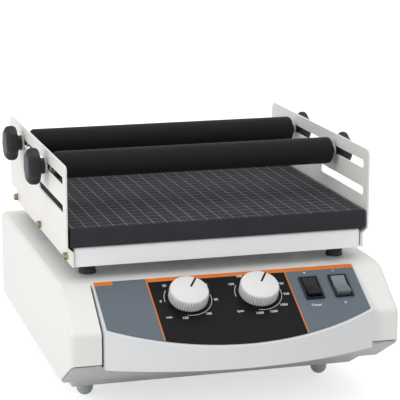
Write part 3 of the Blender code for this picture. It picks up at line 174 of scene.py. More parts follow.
ROD_BLACK = surface("rod_black_oxide", (40, 40, 42), 0.4, specular=0.4, mottle=0.08, grain=0.1)


# Every CAD node: its slot's finish, soft edges and even shading

EDGE_ANGLE = math.radians(32.0)
EDGE_SEGMENTS = 2
NORMAL_WEIGHT = 90
EDGES = {"housing_shell": 0.0006, "tray": 0.0004, "mains_switch_body": 0.0003, "timer_switch_body": 0.0003,
         "mains_rocker": 0.0003, "timer_rocker": 0.0003, "mains_inlet": 0.0003}
OWN_LOOKS = {"front_washer": COLLAR_PALE, "back_washer": COLLAR_PALE}


def soften(part, edge):
    """Round the sharp edges of a piece by a small width, and shade its faces evenly."""
    if edge:
        soft = part.modifiers.new("edge", "BEVEL")
        soft.width = edge
        soft.segments = EDGE_SEGMENTS
        soft.limit_method = "ANGLE"
        soft.angle_limit = EDGE_ANGLE
        soft.miter_outer = "MITER_ARC"
    even = part.modifiers.new("shading", "WEIGHTED_NORMAL")
    even.weight = NORMAL_WEIGHT


def dress(part, look, edge):
    """Give a CAD node its material and, by modifiers alone, soft edges. Its own mesh stays as it is."""
    for slot in part.material_slots:
        slot.material = look
    weld = part.modifiers.new("weld", "WELD")
    weld.merge_threshold = WELD_DISTANCE
    soften(part, edge)


slot_of = {row["node"]: row["material_slot"] for row in frame["record"]["subparts"]}
for node, part in NODES.items():
    dress(part, OWN_LOOKS.get(node, LOOKS[slot_of[node]]), EDGES.get(node, 0.0))


# Helpers for new pieces

def add_object(name, data):
    """A new object for some data, in the scene."""
    thing = bpy.data.objects.new(name, data)
    bpy.context.scene.collection.objects.link(thing)
    return thing


def taken_from(holder):
    """A bmesh of what an object's curve or modifiers give. The object itself goes."""
    bpy.context.view_layer.update()
    mesh = bpy.data.meshes.new_from_object(holder.evaluated_get(bpy.context.evaluated_depsgraph_get()))
    bpy.data.objects.remove(holder)
    work = bmesh.new()
    work.from_mesh(mesh)
    bpy.data.meshes.remove(mesh)
    return work


def copy_of(node):
    """A bmesh of a CAD node's mesh, with doubled points joined. The node keeps its own."""
    work = bmesh.new()
    work.from_mesh(NODES[node].data)
    bmesh.ops.remove_doubles(work, verts=work.verts, dist=WELD_DISTANCE)
    return work


def make_piece(name, work, look, body, place=Matrix.Identity(4), angle=35.0, looks=()):
    """Turn a bmesh into a shaded piece that rides on a body."""
    bmesh.ops.recalc_face_normals(work, faces=work.faces)
    mesh = bpy.data.meshes.new(name)
    work.transform(place)
    work.to_mesh(mesh)
    work.free()
    for each in (look, *looks):
        mesh.materials.append(each)
    mesh.shade_smooth()
    mesh.set_sharp_from_angle(angle=math.radians(angle))
    piece = add_object(name, mesh)
    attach(piece, body)
    return piece


def revolve(layers, steps, closed=False, reach_at=None):
    """A solid from (radius, height) layers round the local Z axis.

    A closed one is a tube, whose last layer meets the first. A third value in a layer goes to reach_at, which
    gives the true radius at a step.
    """
    work = bmesh.new()
    rings = []
    for radius, height, *form in layers:
        if radius < TINY:
            rings.append([work.verts.new((0.0, 0.0, height))])
            continue
        ring = []
        for step in range(steps):
            turn = 2 * math.pi * step / steps
            reach = reach_at(radius, step, *form) if reach_at else radius
            ring.append(work.verts.new((reach * math.cos(turn), reach * math.sin(turn), height)))
        rings.append(ring)
    pairs = list(zip(rings, rings[1:]))
    if closed:
        pairs.append((rings[-1], rings[0]))
    for low, high in pairs:
        for step in range(steps):
            after = (step + 1) % steps
            if len(low) == 1:
                work.faces.new((low[0], high[step], high[after]))
            elif len(high) == 1:
                work.faces.new((low[step], low[after], high[0]))
            else:
                work.faces.new((low[step], low[after], high[after], high[step]))
    return work


def fillet(corners, steps=5):
    """Points of a profile whose corners, given as (radius, height, rounding), are rounded."""
    points = []
    count = len(corners)
    for index, (x, y, size) in enumerate(corners):
        if size <= 0:
            points.append((x, y))
            continue
        here = Vector((x, y))
        before = (Vector(corners[index - 1][:2]) - here).normalized()
        after = (Vector(corners[(index + 1) % count][:2]) - here).normalized()
        half = before.angle(after) / 2
        run = size / math.tan(half)
        centre = here + (before + after).normalized() * (size / math.sin(half))
        start = here + before * run - centre
        sweep = start.angle_signed(here + after * run - centre)
        for step in range(steps + 1):
            spun = Matrix.Rotation(-sweep * step / steps, 2) @ start
            points.append(tuple(centre + spun))
    return points


def flat_solid(loops, low, high):
    """A flat plate from outlines in its own XY plane; the first loop is the outside, the others are holes."""
    curve = bpy.data.curves.new("outline", "CURVE")
    curve.dimensions = "2D"
    curve.fill_mode = "BOTH"
    curve.extrude = (high - low) / 2
    for loop in loops:
        spline = curve.splines.new("POLY")
        spline.points.add(len(loop) - 1)
        for point, (x, y) in zip(spline.points, loop):
            point.co = (x, y, 0.0, 1.0)
        spline.use_cyclic_u = True
    work = taken_from(add_object("outline", curve))
    bmesh.ops.remove_doubles(work, verts=work.verts, dist=TINY)
    bmesh.ops.translate(work, vec=(0.0, 0.0, (low + high) / 2), verts=work.verts)
    return work


def ring_points(radius, x, y, steps):
    """A circle's outline."""
    turns = [2 * math.pi * step / steps for step in range(steps)]
    return [(x + radius * math.cos(turn), y + radius * math.sin(turn)) for turn in turns]


def box_points(x_low, x_high, y_low, y_high):
    """A rectangle's outline."""
    return [(x_low, y_low), (x_high, y_low), (x_high, y_high), (x_low, y_high)]


def prism(points, x_low, x_high):
    """A closed solid from a (y, z) outline, from x_low to x_high."""
    work = bmesh.new()
    ends = [[work.verts.new((x, y, z)) for y, z in points] for x in (x_low, x_high)]
    work.faces.new(ends[0])
    work.faces.new(ends[1][::-1])
    for index in range(len(points)):
        after = (index + 1) % len(points)
        work.faces.new((ends[0][index], ends[1][index], ends[1][after], ends[0][after]))
    bmesh.ops.recalc_face_normals(work, faces=work.faces)
    return work


def tapered(half, y_low, y_high, z_low, z_high, side, front, back):
    """A box whose walls lean out towards the top by three drafts."""
    work = prism([(y_low, z_low), (y_high, z_low), (y_high + back, z_high), (y_low - front, z_high)], -half, half)
    for vertex in work.verts:
        if vertex.co.z > (z_low + z_high) / 2:
            vertex.co.x += math.copysign(side, vertex.co.x)
    return work


def carve(start, steps):
    """Join solids to a start, or cut them out of it, in turn. Gives a bmesh."""
    things = []
    for work in [start] + [solid for _, solid in steps]:
        mesh = bpy.data.meshes.new("scratch")
        work.to_mesh(mesh)
        work.free()
        things.append(add_object("scratch", mesh))
    body, *tools = things
    for (operation, _), tool in zip(steps, tools):
        cut = body.modifiers.new("cut", "BOOLEAN")
        cut.operation = operation
        cut.solver = "EXACT"
        cut.object = tool
    work = taken_from(body)
    for tool in tools:
        bpy.data.objects.remove(tool)
    return work


# Base pan: one folded sheet with a full front slope, its ears and a tub below

CHEEK_Y, SKIRT_BACK_Y = -0.1300, 0.1555
UNDERCUT_RUN, UNDERCUT_RISE = 0.0385, 0.0215
PAN_LOW, PAN_RIM, PAN_WALL, PAN_HALF = 0.0158, 0.0302, 0.0016, 0.1208
PAN_FRONT_INSET, PAN_EDGE = 0.0004, 0.0005
TUB_HALF, TUB_FRONT, TUB_BACK = 0.1090, -0.0655, 0.1380
TUB_DRAFTS, HOLLOW_DRAFTS = (0.0010, 0.0250, 0.0115), (0.0010, 0.0240, 0.0115)
HOLLOW_OVERRUN = 0.002
NOTCH_LEAD, NOTCH_BACK, NOTCH_TOP, NOTCH_HALF = 0.004, -0.1267, 0.10, 0.1000

lean = math.atan2(UNDERCUT_RISE, UNDERCUT_RUN)
bend_y, front_y = CHEEK_Y + UNDERCUT_RUN, CHEEK_Y + PAN_FRONT_INSET
climb = (bend_y - front_y) * math.tan(lean)
sheet = prism([(SKIRT_BACK_Y, PAN_RIM - PAN_WALL), (SKIRT_BACK_Y, PAN_RIM), (bend_y, PAN_RIM),
               (front_y, PAN_RIM + climb), (front_y, PAN_RIM + climb - PAN_WALL / math.cos(lean)),
               (bend_y - PAN_WALL * math.tan(lean / 2), PAN_RIM - PAN_WALL)], -PAN_HALF, PAN_HALF)
tub = tapered(TUB_HALF, TUB_FRONT, TUB_BACK, PAN_LOW, PAN_RIM - PAN_WALL / 2, *TUB_DRAFTS)
hollow = tapered(TUB_HALF - PAN_WALL, TUB_FRONT + PAN_WALL, TUB_BACK - PAN_WALL, PAN_LOW + PAN_WALL,
                 PAN_RIM + HOLLOW_OVERRUN, *HOLLOW_DRAFTS)
notch = prism(box_points(front_y - NOTCH_LEAD, NOTCH_BACK, PAN_RIM, NOTCH_TOP), -NOTCH_HALF, NOTCH_HALF)
pan = make_piece("base_pan_folded", carve(sheet, [("UNION", tub), ("DIFFERENCE", hollow), ("DIFFERENCE", notch)]),
                 LOOKS["pan_grey"], "base", Matrix.Translation((MIDDLE_X, 0.0, 0.0)), angle=30.0)
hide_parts("base_pan")
soften(pan, PAN_EDGE)


# Front panel: the CAD form with its left side pulled in, which leaves the open seam

PANEL_HALF, PULL_FROM, SEAM, PANEL_EDGE = 0.0997, 0.0930, 0.0011, 0.0004
work = copy_of("front_panel")
for vertex in work.verts:
    out = MIDDLE_X - vertex.co.x - PULL_FROM
    if out > 0:
        vertex.co.x += out * SEAM / (PANEL_HALF - PULL_FROM)
panel = make_piece("front_panel_moulding", work, LOOKS["panel_white"], "base", angle=30.0)
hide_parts("front_panel")
soften(panel, PANEL_EDGE)


# Side plates: the same cut and joggled sheet at its thinner gauge, with taller slots

TAB_MIDDLE, JOGGLE_OFFSET = 0.1104, 0.0035
JOGGLE_LOW, JOGGLE_HIGH = 0.1220, 0.1260
THINNED, PLATE_EDGE = 0.0007, 0.0003
SLOT_HEIGHTS, SLOT_REACH, SLOT_WIDENING = (0.1724, 0.1520), 0.0035, 1.11
for side, _ in SIDES:
    node = f"side_plate_{side}"
    work = copy_of(node)
    for vertex in work.verts:
        share = min(1.0, max(0.0, (vertex.co.z - JOGGLE_LOW) / (JOGGLE_HIGH - JOGGLE_LOW)))
        reach = abs(vertex.co.x - MIDDLE_X)
        shift = THINNED * share if reach < TAB_MIDDLE + JOGGLE_OFFSET * share else -THINNED * (1 - share)
        vertex.co.x += math.copysign(1.0, vertex.co.x - MIDDLE_X) * shift
        for centre in SLOT_HEIGHTS:
            if abs(vertex.co.z - centre) < SLOT_REACH:
                vertex.co.z = centre + (vertex.co.z - centre) * SLOT_WIDENING
    plate = make_piece(f"{node}_sheet", work, LOOKS["plate_white"], "platform", angle=30.0)
    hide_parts(node)
    soften(plate, PLATE_EDGE)


# Control label: film in three fields, printed bands, lines, numbers and marks. Places on it are (x, down the slope)

BOW_SAGITTA, BOW_HALF, BOW_FRONT_Y = 0.0218, 0.0992, -0.157
BOW_RADIUS = (BOW_HALF ** 2 + BOW_SAGITTA ** 2) / (2 * BOW_SAGITTA)
BOW_CENTRE_Y = BOW_FRONT_Y + BOW_RADIUS
BOW_MARGIN = 0.0018
LABEL_TOP, INK = 0.0008, 0.00004
LABEL_LEFT, LABEL_RIGHT = -0.0973, 0.0982
LINE_LEFT, LINE_RIGHT, LINE_WIDTH = -0.0590, 0.0450, 0.0009
FIELD_GAP = 0.00001
BAND_TOP, BAND_HEIGHT, SHORT_BAND_END = -0.0004, 0.0038, -0.0838
BAND_LOW = BAND_TOP - BAND_HEIGHT
DIALS, DIAL_DOWN = {"timer": -0.0331, "speed": 0.0195}, 0.0235
DIAL_HOLE_RADIUS, DIAL_HOLE_STEPS = 0.0050, 24
SWITCHES, SWITCH_DOWN = {"timer": 0.0603, "mains": 0.0828}, 0.0229
SWITCH_HALF_WIDTH, SWITCH_HALF_LENGTH = 0.0066, 0.0109
DIGIT, WORD = 0.0030, 0.0032
LETTER_SPREAD, LETTER_STEPS = 0.00004, 3
SCALE_MARKS = {
    "timer": (0.0203, [("0", 183), ("20", 134), ("40", 86), ("60", 38), ("80", -9.6), ("100", -56.5),
                       ("120", -108.8)]),
    "speed": (0.0207, [("150", 148), ("300", 117), ("450", 85), ("600", 54), ("750", 22), ("900", -9),
                       ("1050", -42), ("1200", -72.6), ("1350", -102)]),
}
PLAIN_MARKS = [
    ("timer_unit", "min", -0.0509, 0.0409, DIGIT),
    ("speed_unit", "rpm", 0.0016, 0.0403, DIGIT),
    ("timer_switch_mark", "0", 0.0597, 0.0066, DIGIT),
    ("timer_switch_word", "Timer", 0.0591, 0.0403, WORD),
    ("mains_switch_mark_1", "1", 0.0820, 0.0063, DIGIT),
    ("mains_switch_mark_0", "0", 0.0814, 0.0400, DIGIT),
]
ARC_RADIUS, ARC_WIDTH, DEGREES_PER_STEP, LEAST_ARC_STEPS = 0.0172, 0.00035, 4, 4
ARC_SPANS = (("left", 186, 146), ("right", -104, 8))


def arc_down(x):
    """How far down the slope the label's bowed edge lies at x."""
    y = BOW_CENTRE_Y - math.sqrt((BOW_RADIUS - BOW_MARGIN) ** 2 - x ** 2)
    return (PANEL_TOP.y - y) / math.cos(SLOPE)


def field(x_left, x_right, top=BAND_TOP, holes=(), steps=24):
    """A label field between two lines down the slope, closed by the bow below."""
    loop = [(x_left, top), (x_right, top)]
    for step in range(steps + 1):
        x = x_right + (x_left - x_right) * step / steps
        loop.append((x, -arc_down(x)))
    return [loop[::-1], *holes]


def film(name, loops, look):
    """A piece of the label's film."""
    return make_piece(name, flat_solid(loops, GAP, LABEL_TOP), look, "base", PANEL)


def printed(name, loops, look):
    """A printed shape on the film."""
    make_piece(name, flat_solid(loops, LABEL_TOP, LABEL_TOP + INK), look, "base", PANEL)


def print_text(name, words, x, down, size):
    """Raised ink lettering on the label, centred at a place."""
    curve = bpy.data.curves.new(name, "FONT")
    curve.body = words
    curve.size = size
    curve.align_x = "CENTER"
    curve.align_y = "CENTER"
    curve.extrude = INK
    curve.offset = LETTER_SPREAD
    curve.resolution_u = LETTER_STEPS
    work = taken_from(add_object(name, curve))
    bmesh.ops.remove_doubles(work, verts=work.verts, dist=TINY)
    spot = PANEL @ Matrix.Translation((x, -down, LABEL_TOP + INK))
    make_piece(name, work, PRINT_WHITE, "base", spot)


def scale_arc(name, x, start, end):
    """A thin printed arc round a dial, from start to end in degrees."""
    steps = max(LEAST_ARC_STEPS, int(abs(end - start) / DEGREES_PER_STEP))
    turns = [math.radians(start + (end - start) * step / steps) for step in range(steps + 1)]
    outer, inner = ([(x + reach * math.cos(turn), -DIAL_DOWN + reach * math.sin(turn)) for turn in turns]
                    for reach in (ARC_RADIUS + ARC_WIDTH / 2, ARC_RADIUS - ARC_WIDTH / 2))
    printed(name, [outer + inner[::-1]], PRINT_WHITE)


dial_holes = [ring_points(DIAL_HOLE_RADIUS, x, -DIAL_DOWN, DIAL_HOLE_STEPS) for x in DIALS.values()]
switch_holes = [box_points(x - SWITCH_HALF_WIDTH, x + SWITCH_HALF_WIDTH, -SWITCH_DOWN - SWITCH_HALF_LENGTH,
                           -SWITCH_DOWN + SWITCH_HALF_LENGTH) for x in SWITCHES.values()]
black = film("label_black_field", field(LINE_LEFT, LINE_RIGHT, holes=dial_holes), LOOKS["label_dark"])
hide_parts("control_label")
film("label_left_field", field(LABEL_LEFT, LINE_LEFT - FIELD_GAP), LABEL_GREY)
film("label_right_field", field(LINE_RIGHT + FIELD_GAP, LABEL_RIGHT, holes=switch_holes), LABEL_GREY)
printed("label_short_band", [box_points(LABEL_LEFT, SHORT_BAND_END, BAND_LOW, BAND_TOP)], LABEL_ORANGE)
printed("label_long_band", [box_points(LINE_LEFT - LINE_WIDTH / 2, LABEL_RIGHT, BAND_LOW, BAND_TOP)], LABEL_ORANGE)
for side, x in (("left", LINE_LEFT), ("right", LINE_RIGHT)):
    line = field(x - LINE_WIDTH / 2, x + LINE_WIDTH / 2, top=BAND_LOW, steps=2)
    printed(f"label_line_{side}", line, LABEL_ORANGE)
for which, (reach, marks) in SCALE_MARKS.items():
    for words, degrees in marks:
        turn = math.radians(degrees)
        print_text(f"{which}_mark_{words}", words, DIALS[which] + reach * math.cos(turn),
                   DIAL_DOWN - reach * math.sin(turn), DIGIT)
for mark in PLAIN_MARKS:
    print_text(*mark)
for which, x in DIALS.items():
    for side, start, end in ARC_SPANS:
        scale_arc(f"{which}_scale_{side}", x, start, end)


# Dials: a ribbed skirt under a smooth cap, with a pointer line

CONTROL_SEAT = 0.0011
DIAL_TOP, DIAL_RIBS, RIB_DEPTH = 0.0088, 46, 0.0011
RIB_WAVE = (1.0, 0.9, 0.0, 0.9)
POINTER_HALF, POINTER_START, POINTER_END, POINTER_TURN = 0.00075, 0.0029, 0.0133, math.radians(-33.0)
# Radius, height, and how deep the ribs are there: bore, underside, skirt, rim and cap
DIAL_LAYERS = [(0.0, 0.0052, 0), (0.0033, 0.0052, 0), (0.0033, 0.0012, 0), (0.0128, 0.0012, 0), (0.0128, 0.0, 0),
               (0.0142, 0.0, 1), (0.0144, 0.0003, 1), (0.0144, 0.0068, 1), (0.0143, 0.0074, 0.8),
               (0.0139, 0.0078, 0), (0.0138, 0.0083, 0), (0.0136, 0.0086, 0), (0.0132, DIAL_TOP, 0),
               (0.0, DIAL_TOP, 0)]


def rib_reach(radius, step, share):
    """The dial's radius at a step round it."""
    return radius - RIB_DEPTH * share * (1 - RIB_WAVE[step % len(RIB_WAVE)])


for which, x in DIALS.items():
    spot = PANEL @ Matrix.Translation((x, -DIAL_DOWN, CONTROL_SEAT))
    dial = make_piece(f"{which}_dial_cover", revolve(DIAL_LAYERS, DIAL_RIBS * len(RIB_WAVE), reach_at=rib_reach),
                      LOOKS["dial_white"], f"{which}_control", spot, angle=50.0)
    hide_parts(f"{which}_dial")
    line = flat_solid([box_points(-POINTER_HALF, POINTER_HALF, POINTER_START, POINTER_END)], DIAL_TOP,
                      DIAL_TOP + INK)
    bmesh.ops.rotate(line, verts=line.verts, cent=(0.0, 0.0, 0.0), matrix=Matrix.Rotation(POINTER_TURN, 3, "Z"))
    make_piece(f"{which}_dial_line", line, LINE_BLACK, f"{which}_control", spot)


# Rollers: foam tubes with rounded ends, on black rods with a bush and a pale collar at each end

ROLLER_Z, ROLLERS = 0.1724, {"front": -0.0145, "back": 0.0815}
SLEEVE_HALF, SLEEVE_RADIUS, SLEEVE_BORE, SLEEVE_ROUND, BORE_ROUND = 0.1092, 0.0103, 0.0063, 0.0030, 0.0003
ROD_RADIUS, BUSH_RADIUS, COLLAR_RADIUS, COLLAR_ROUND = 0.0024, 0.0031, 0.0040, 0.0003
BUSH_INNER, BUSH_OUTER = 0.1094, 0.1113
COLLAR_INNER, COLLAR_OUTER = 0.1114, 0.1126
LEFT_TIP, RIGHT_TIP = 0.1283, 0.1217
SLEEVE_PROFILE = fillet([(SLEEVE_BORE, SLEEVE_HALF, BORE_ROUND), (SLEEVE_RADIUS, SLEEVE_HALF, SLEEVE_ROUND),
                         (SLEEVE_RADIUS, -SLEEVE_HALF, SLEEVE_ROUND), (SLEEVE_BORE, -SLEEVE_HALF, BORE_ROUND)])
SHOULDER = [(ROD_RADIUS, BUSH_OUTER), (BUSH_RADIUS, BUSH_OUTER), (BUSH_RADIUS, BUSH_INNER),
            (ROD_RADIUS, BUSH_INNER)]
ROD_PROFILE = [(0.0, RIGHT_TIP), (ROD_RADIUS, RIGHT_TIP), *SHOULDER, *((r, -along) for r, along in SHOULDER[::-1]),
               (ROD_RADIUS, -LEFT_TIP), (0.0, -LEFT_TIP)]
for end, y in ROLLERS.items():
    body = f"{end}_roller"
    lie = Matrix.Translation((MIDDLE_X, y, ROLLER_Z)) @ Matrix.Rotation(math.pi / 2, 4, "Y")
    sleeve = make_piece(f"{end}_foam_sleeve", revolve(SLEEVE_PROFILE, steps=64, closed=True), LOOKS["roller_foam"],
                        body, lie, angle=60.0)
    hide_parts(f"{end}_roller_sleeve")
    bar = make_piece(f"{end}_rod_bar", revolve(ROD_PROFILE, steps=24), ROD_BLACK, body, lie, angle=40.0)
    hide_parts(f"{end}_roller_rod")
    for side, sign in SIDES:
        low, high = sorted((sign * COLLAR_INNER, sign * COLLAR_OUTER))
        ring = fillet([(ROD_RADIUS, low, 0), (COLLAR_RADIUS, low, COLLAR_ROUND),
                       (COLLAR_RADIUS, high, COLLAR_ROUND), (ROD_RADIUS, high, 0)], steps=3)
        make_piece(f"{end}_rod_collar_{side}", revolve(ring, steps=32, closed=True), COLLAR_PALE, body,
                   lie, angle=40.0)


# Star knobs: seven shallow lobes with a barrel rim; the left ones have a hub and a thicker grip

STAR_RADIUS, STAR_LOBES, LOBE_DEPTH, STAR_RIM, STAR_BORE = 0.0140, 7, 0.0012, 0.0041, 0.0028
STEPS_PER_LOBE, RIM_STEPS, HUB_CLEARANCE = 12, 6, 0.0002
# Where the grip starts, its thickness, its bore's depth from the inner end, and its hub's radius and length
GRIPS = {"left": (0.1203, 0.0100, 0.0117, (0.0059, 0.0033)), "right": (0.1152, 0.0085, 0.0068, None)}


def lobe_reach(radius, step, lobed):
    """The knob's radius at a step round it."""
    turn = 2 * math.pi * step / (STAR_LOBES * STEPS_PER_LOBE)
    dip = LOBE_DEPTH * (1 - math.cos(STAR_LOBES * turn)) / 2 * radius / STAR_RADIUS if lobed else 0.0
    return radius - dip


def star(thickness, bore_depth, hub):
    """Lobed grip from its inner face at z=0 outwards, with an optional hub below and a blind bore."""
    if hub:
        hub_radius, hub_length = hub
        layers = [(STAR_BORE, bore_depth - hub_length, 0), (STAR_BORE, -hub_length, 0),
                  (hub_radius, -hub_length, 0), (hub_radius, -HUB_CLEARANCE, 0)]
    else:
        layers = [(STAR_BORE, bore_depth, 0), (STAR_BORE, 0.0, 0)]
    turns = [math.pi / 2 * step / RIM_STEPS for step in range(RIM_STEPS + 1)]
    base = STAR_RADIUS - STAR_RIM
    layers += [(base + STAR_RIM * math.sin(turn), STAR_RIM * (1 - math.cos(turn)), 1) for turn in turns]
    layers += [(base + STAR_RIM * math.cos(turn), thickness - STAR_RIM + STAR_RIM * math.sin(turn), 1)
               for turn in turns[1:]]
    layers = [(0.0, layers[0][1], 0), *layers, (0.0, thickness, 0)]
    return revolve(layers, STAR_LOBES * STEPS_PER_LOBE, reach_at=lobe_reach)


for end, y in ROLLERS.items():
    for side, sign in SIDES:
        start, thickness, bore_depth, hub = GRIPS[side]
        lie = (Matrix.Translation((MIDDLE_X, y, ROLLER_Z)) @ Matrix.Rotation(sign * math.pi / 2, 4, "Y")
               @ Matrix.Translation((0.0, 0.0, start)) @ Matrix.Rotation(math.pi * (1 + sign) / 2, 4, "Z"))
        knob = make_piece(f"{end}_star_knob_{side}", star(thickness, bore_depth, hub), LOOKS["knob_black"],
                          f"{end}_grip_{side}", lie, angle=50.0)
        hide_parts(f"{end}_knob_{side}")


# Mat: a thick rubber slab with a raised grid of squares

MAT_WIDTH, MAT_DEPTH, MAT_LOW, MAT_HIGH, PLATFORM_Y = 0.2236, 0.2286, 0.1260, 0.1400, 0.030
GRID_PITCH, GRID_RIB, GRID_SLOPE, GRID_RISE = 0.010, 0.0005, 0.0002, 0.00025


def stations(size):
    """Where the grid's rib edges and the slab's ends lie along one side."""
    half = size / 2
    values = [-half]
    count = int(half / GRID_PITCH)
    for index in range(-count, count + 1):
        for offset in (-GRID_RIB / 2 - GRID_SLOPE, -GRID_RIB / 2, GRID_RIB / 2, GRID_RIB / 2 + GRID_SLOPE):
            if -half < index * GRID_PITCH + offset < half:
                values.append(index * GRID_PITCH + offset)
    return values + [half]


def on_rib(*values):
    """Whether a place lies on a rib, along either side."""
    return any(abs(value - round(value / GRID_PITCH) * GRID_PITCH) <= GRID_RIB / 2 + TINY for value in values)


def grid_slab():
    """A slab whose top carries a square grid of fine ribs. The ribs' faces have the second material, a lighter grey
    that paints the highlight where the ribs catch the light.
    """
    work = bmesh.new()
    xs, ys = stations(MAT_WIDTH), stations(MAT_DEPTH)
    last_x, last_y = len(xs) - 1, len(ys) - 1
    top = {}
    for i, x in enumerate(xs):
        for j, y in enumerate(ys):
            top[i, j] = work.verts.new((x, y, MAT_HIGH if on_rib(x, y) else MAT_HIGH - GRID_RISE))
    for i in range(last_x):
        for j in range(last_y):
            face = work.faces.new((top[i, j], top[i + 1, j], top[i + 1, j + 1], top[i, j + 1]))
            if on_rib((xs[i] + xs[i + 1]) / 2, (ys[j] + ys[j + 1]) / 2):
                # Rib faces get the lighter grey, a painted highlight.
                face.material_index = 1
    rim = ([(i, 0) for i in range(last_x + 1)] + [(last_x, j) for j in range(1, last_y + 1)]
           + [(i, last_y) for i in range(last_x - 1, -1, -1)] + [(0, j) for j in range(last_y - 1, 0, -1)])
    bottom = [work.verts.new((top[key].co.x, top[key].co.y, MAT_LOW)) for key in rim]
    for index, key in enumerate(rim):
        after = (index + 1) % len(rim)
        work.faces.new((top[key], bottom[index], bottom[after], top[rim[after]]))
    work.faces.new(bottom)
    return work


# The second material paints a highlight on the rib faces.
mat = make_piece("platform_grid_mat", grid_slab(), LOOKS["mat_rubber"], "platform",
                 Matrix.Translation((MIDDLE_X, PLATFORM_Y, 0.0)), angle=30.0, looks=(MAT_RIB_HIGHLIGHT,))
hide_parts("platform_mat")


# Feet and buffers

FOOT_X, FOOT_YS = 0.0935, {"front": -0.0385, "back": 0.1220}
# Radius, height and rounding: flange, neck and the round end that rests on the bench
FOOT_CORNERS = [(0.0, 0.0155, 0), (0.0085, 0.0155, 0.0004), (0.0085, 0.0125, 0.0005), (0.0064, 0.0123, 0.0004),
                (0.0063, 0.0, 0.0060), (0.0, 0.0, 0)]
CRANK_PIN_Y, BUFFER_X, BUFFER_REACH = 0.0275, 0.0955, 0.0907
BUFFER_YS = {"front": CRANK_PIN_Y - BUFFER_REACH, "back": CRANK_PIN_Y + BUFFER_REACH}
BUFFER_LOW, BUFFER_HIGH, BUFFER_END_RADIUS, BUFFER_LIP = 0.1018, 0.1234, 0.0064, 0.0002
BUFFER_RADIUS, BUFFER_WAVE, BUFFER_RIBS, STEPS_PER_RIB = 0.0063, 0.0003, 4, 10


def buffer_profile():
    """A stub with flat ends and softly waved sides."""
    profile = [(0.0, BUFFER_HIGH), (BUFFER_END_RADIUS, BUFFER_HIGH)]
    for step in range(BUFFER_RIBS * STEPS_PER_RIB + 1):
        share = step / (BUFFER_RIBS * STEPS_PER_RIB)
        radius = BUFFER_RADIUS + BUFFER_WAVE * math.cos(2 * math.pi * BUFFER_RIBS * share)
        profile.append((radius, BUFFER_HIGH - BUFFER_LIP - (BUFFER_HIGH - BUFFER_LOW - 2 * BUFFER_LIP) * share))
    return profile + [(BUFFER_END_RADIUS, BUFFER_LOW), (0.0, BUFFER_LOW)]


for kind, form, profile, slot, far_x, ys in (
        ("foot", "dome", fillet(FOOT_CORNERS, steps=10), "foot_rubber", FOOT_X, FOOT_YS),
        ("buffer", "ribbed", buffer_profile(), "black_rubber", BUFFER_X, BUFFER_YS)):
    for side, sign in SIDES:
        for end, y in ys.items():
            name = f"{kind}_{end}_{side}"
            stub = make_piece(f"{name}_{form}", revolve(profile, steps=48), LOOKS[slot], "base",
                              Matrix.Translation((MIDDLE_X + sign * far_x, y, 0.0)), angle=60.0)
            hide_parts(name)


# Screws in the side plates' tabs

# Each screw's place along the tab is a share of half the plate's length
SCREW_SEAT, SCREW_Z, PLATE_HALF_LENGTH = 0.1110, 0.1156, 0.1145
SCREW_SHARES = (("front", -0.838), ("middle", 0.057), ("back", 0.950))
SHANK_RADIUS, SHANK_DEPTH = 0.0020, 0.0020
HEAD_RADIUS, HEAD_HEIGHT, HEAD_ROUND = 0.0028, 0.0030, 0.0006
HEX_REACH, HEX_RIM, HEX_DEPTH_SHARE = 0.0014, 1.25, 0.55


def socket_screw():
    """A cylinder head with a rounded rim and a hexagonal recess, on a short shank."""
    profile = fillet([(SHANK_RADIUS, -SHANK_DEPTH, 0), (SHANK_RADIUS, -GAP, 0), (HEAD_RADIUS, -GAP, 0),
                      (HEAD_RADIUS, HEAD_HEIGHT, HEAD_ROUND), (HEX_REACH * HEX_RIM, HEAD_HEIGHT, 0)], steps=4)
    work = revolve([(0.0, -SHANK_DEPTH)] + profile, steps=36)
    rim = [vertex for vertex in work.verts
           if vertex.co.z > HEAD_HEIGHT - TINY and vertex.co.xy.length < HEX_REACH * HEX_RIM + TINY]
    rim.sort(key=lambda vertex: math.atan2(vertex.co.y, vertex.co.x))
    ring, bottom = [], []
    for vertex in rim:
        turn = math.atan2(vertex.co.y, vertex.co.x)
        part = (turn % (math.pi / 3)) - math.pi / 6
        reach = HEX_REACH * math.cos(math.pi / 6) / math.cos(part)
        for points, height in ((ring, HEAD_HEIGHT), (bottom, HEAD_HEIGHT - HEAD_HEIGHT * HEX_DEPTH_SHARE)):
            points.append(work.verts.new((reach * math.cos(turn), reach * math.sin(turn), height)))
    count = len(rim)
    for index in range(count):
        after = (index + 1) % count
        work.faces.new((rim[index], rim[after], ring[after], ring[index]))
        work.faces.new((ring[index], ring[after], bottom[after], bottom[index]))
    work.faces.new(bottom)
    return work


for side, sign in SIDES:
    for where, share in SCREW_SHARES:
        lie = (Matrix.Translation((MIDDLE_X, PLATFORM_Y + share * PLATE_HALF_LENGTH, SCREW_Z))
               @ Matrix.Rotation(sign * math.pi / 2, 4, "Y") @ Matrix.Translation((0.0, 0.0, SCREW_SEAT)))
        screw = make_piece(f"tab_screw_{side}_{where}", socket_screw(), LOOKS["zinc"], "platform", lie,
                           angle=30.0)
        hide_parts(f"plate_screw_{side}_{where}")


# Floor, light and camera

FLOOR_HALF, FLOOR_COLOUR, FLOOR_LIFT = 6.0, (0.80, 0.80, 0.80, 1.0), 0.62
SKY_COLOUR, SKY_LEVELS = (1.0, 1.0, 1.0, 1.0), (0.70, 1.0)
LIGHTS_AIM = Vector((0.0, 0.0, 0.1))
CAMERA_PLACE, CAMERA_TILT, CAMERA_TURN = (-0.3468, -1.2605, 0.4294), math.radians(77.359), math.radians(-15.858)
CAMERA_LENS, CAMERA_SENSOR, CAMERA_CLIP = 155.92, 36.0, (0.05, 30.0)


def maths(tree, operation, first, second):
    """Two values, each a number or a socket, put together."""
    node = tree.nodes.new("ShaderNodeMath")
    node.operation = operation
    for socket, value in zip(node.inputs, (first, second)):
        if isinstance(value, float):
            socket.default_value = value
        else:
            tree.links.new(value, socket)
    return node.outputs["Value"]


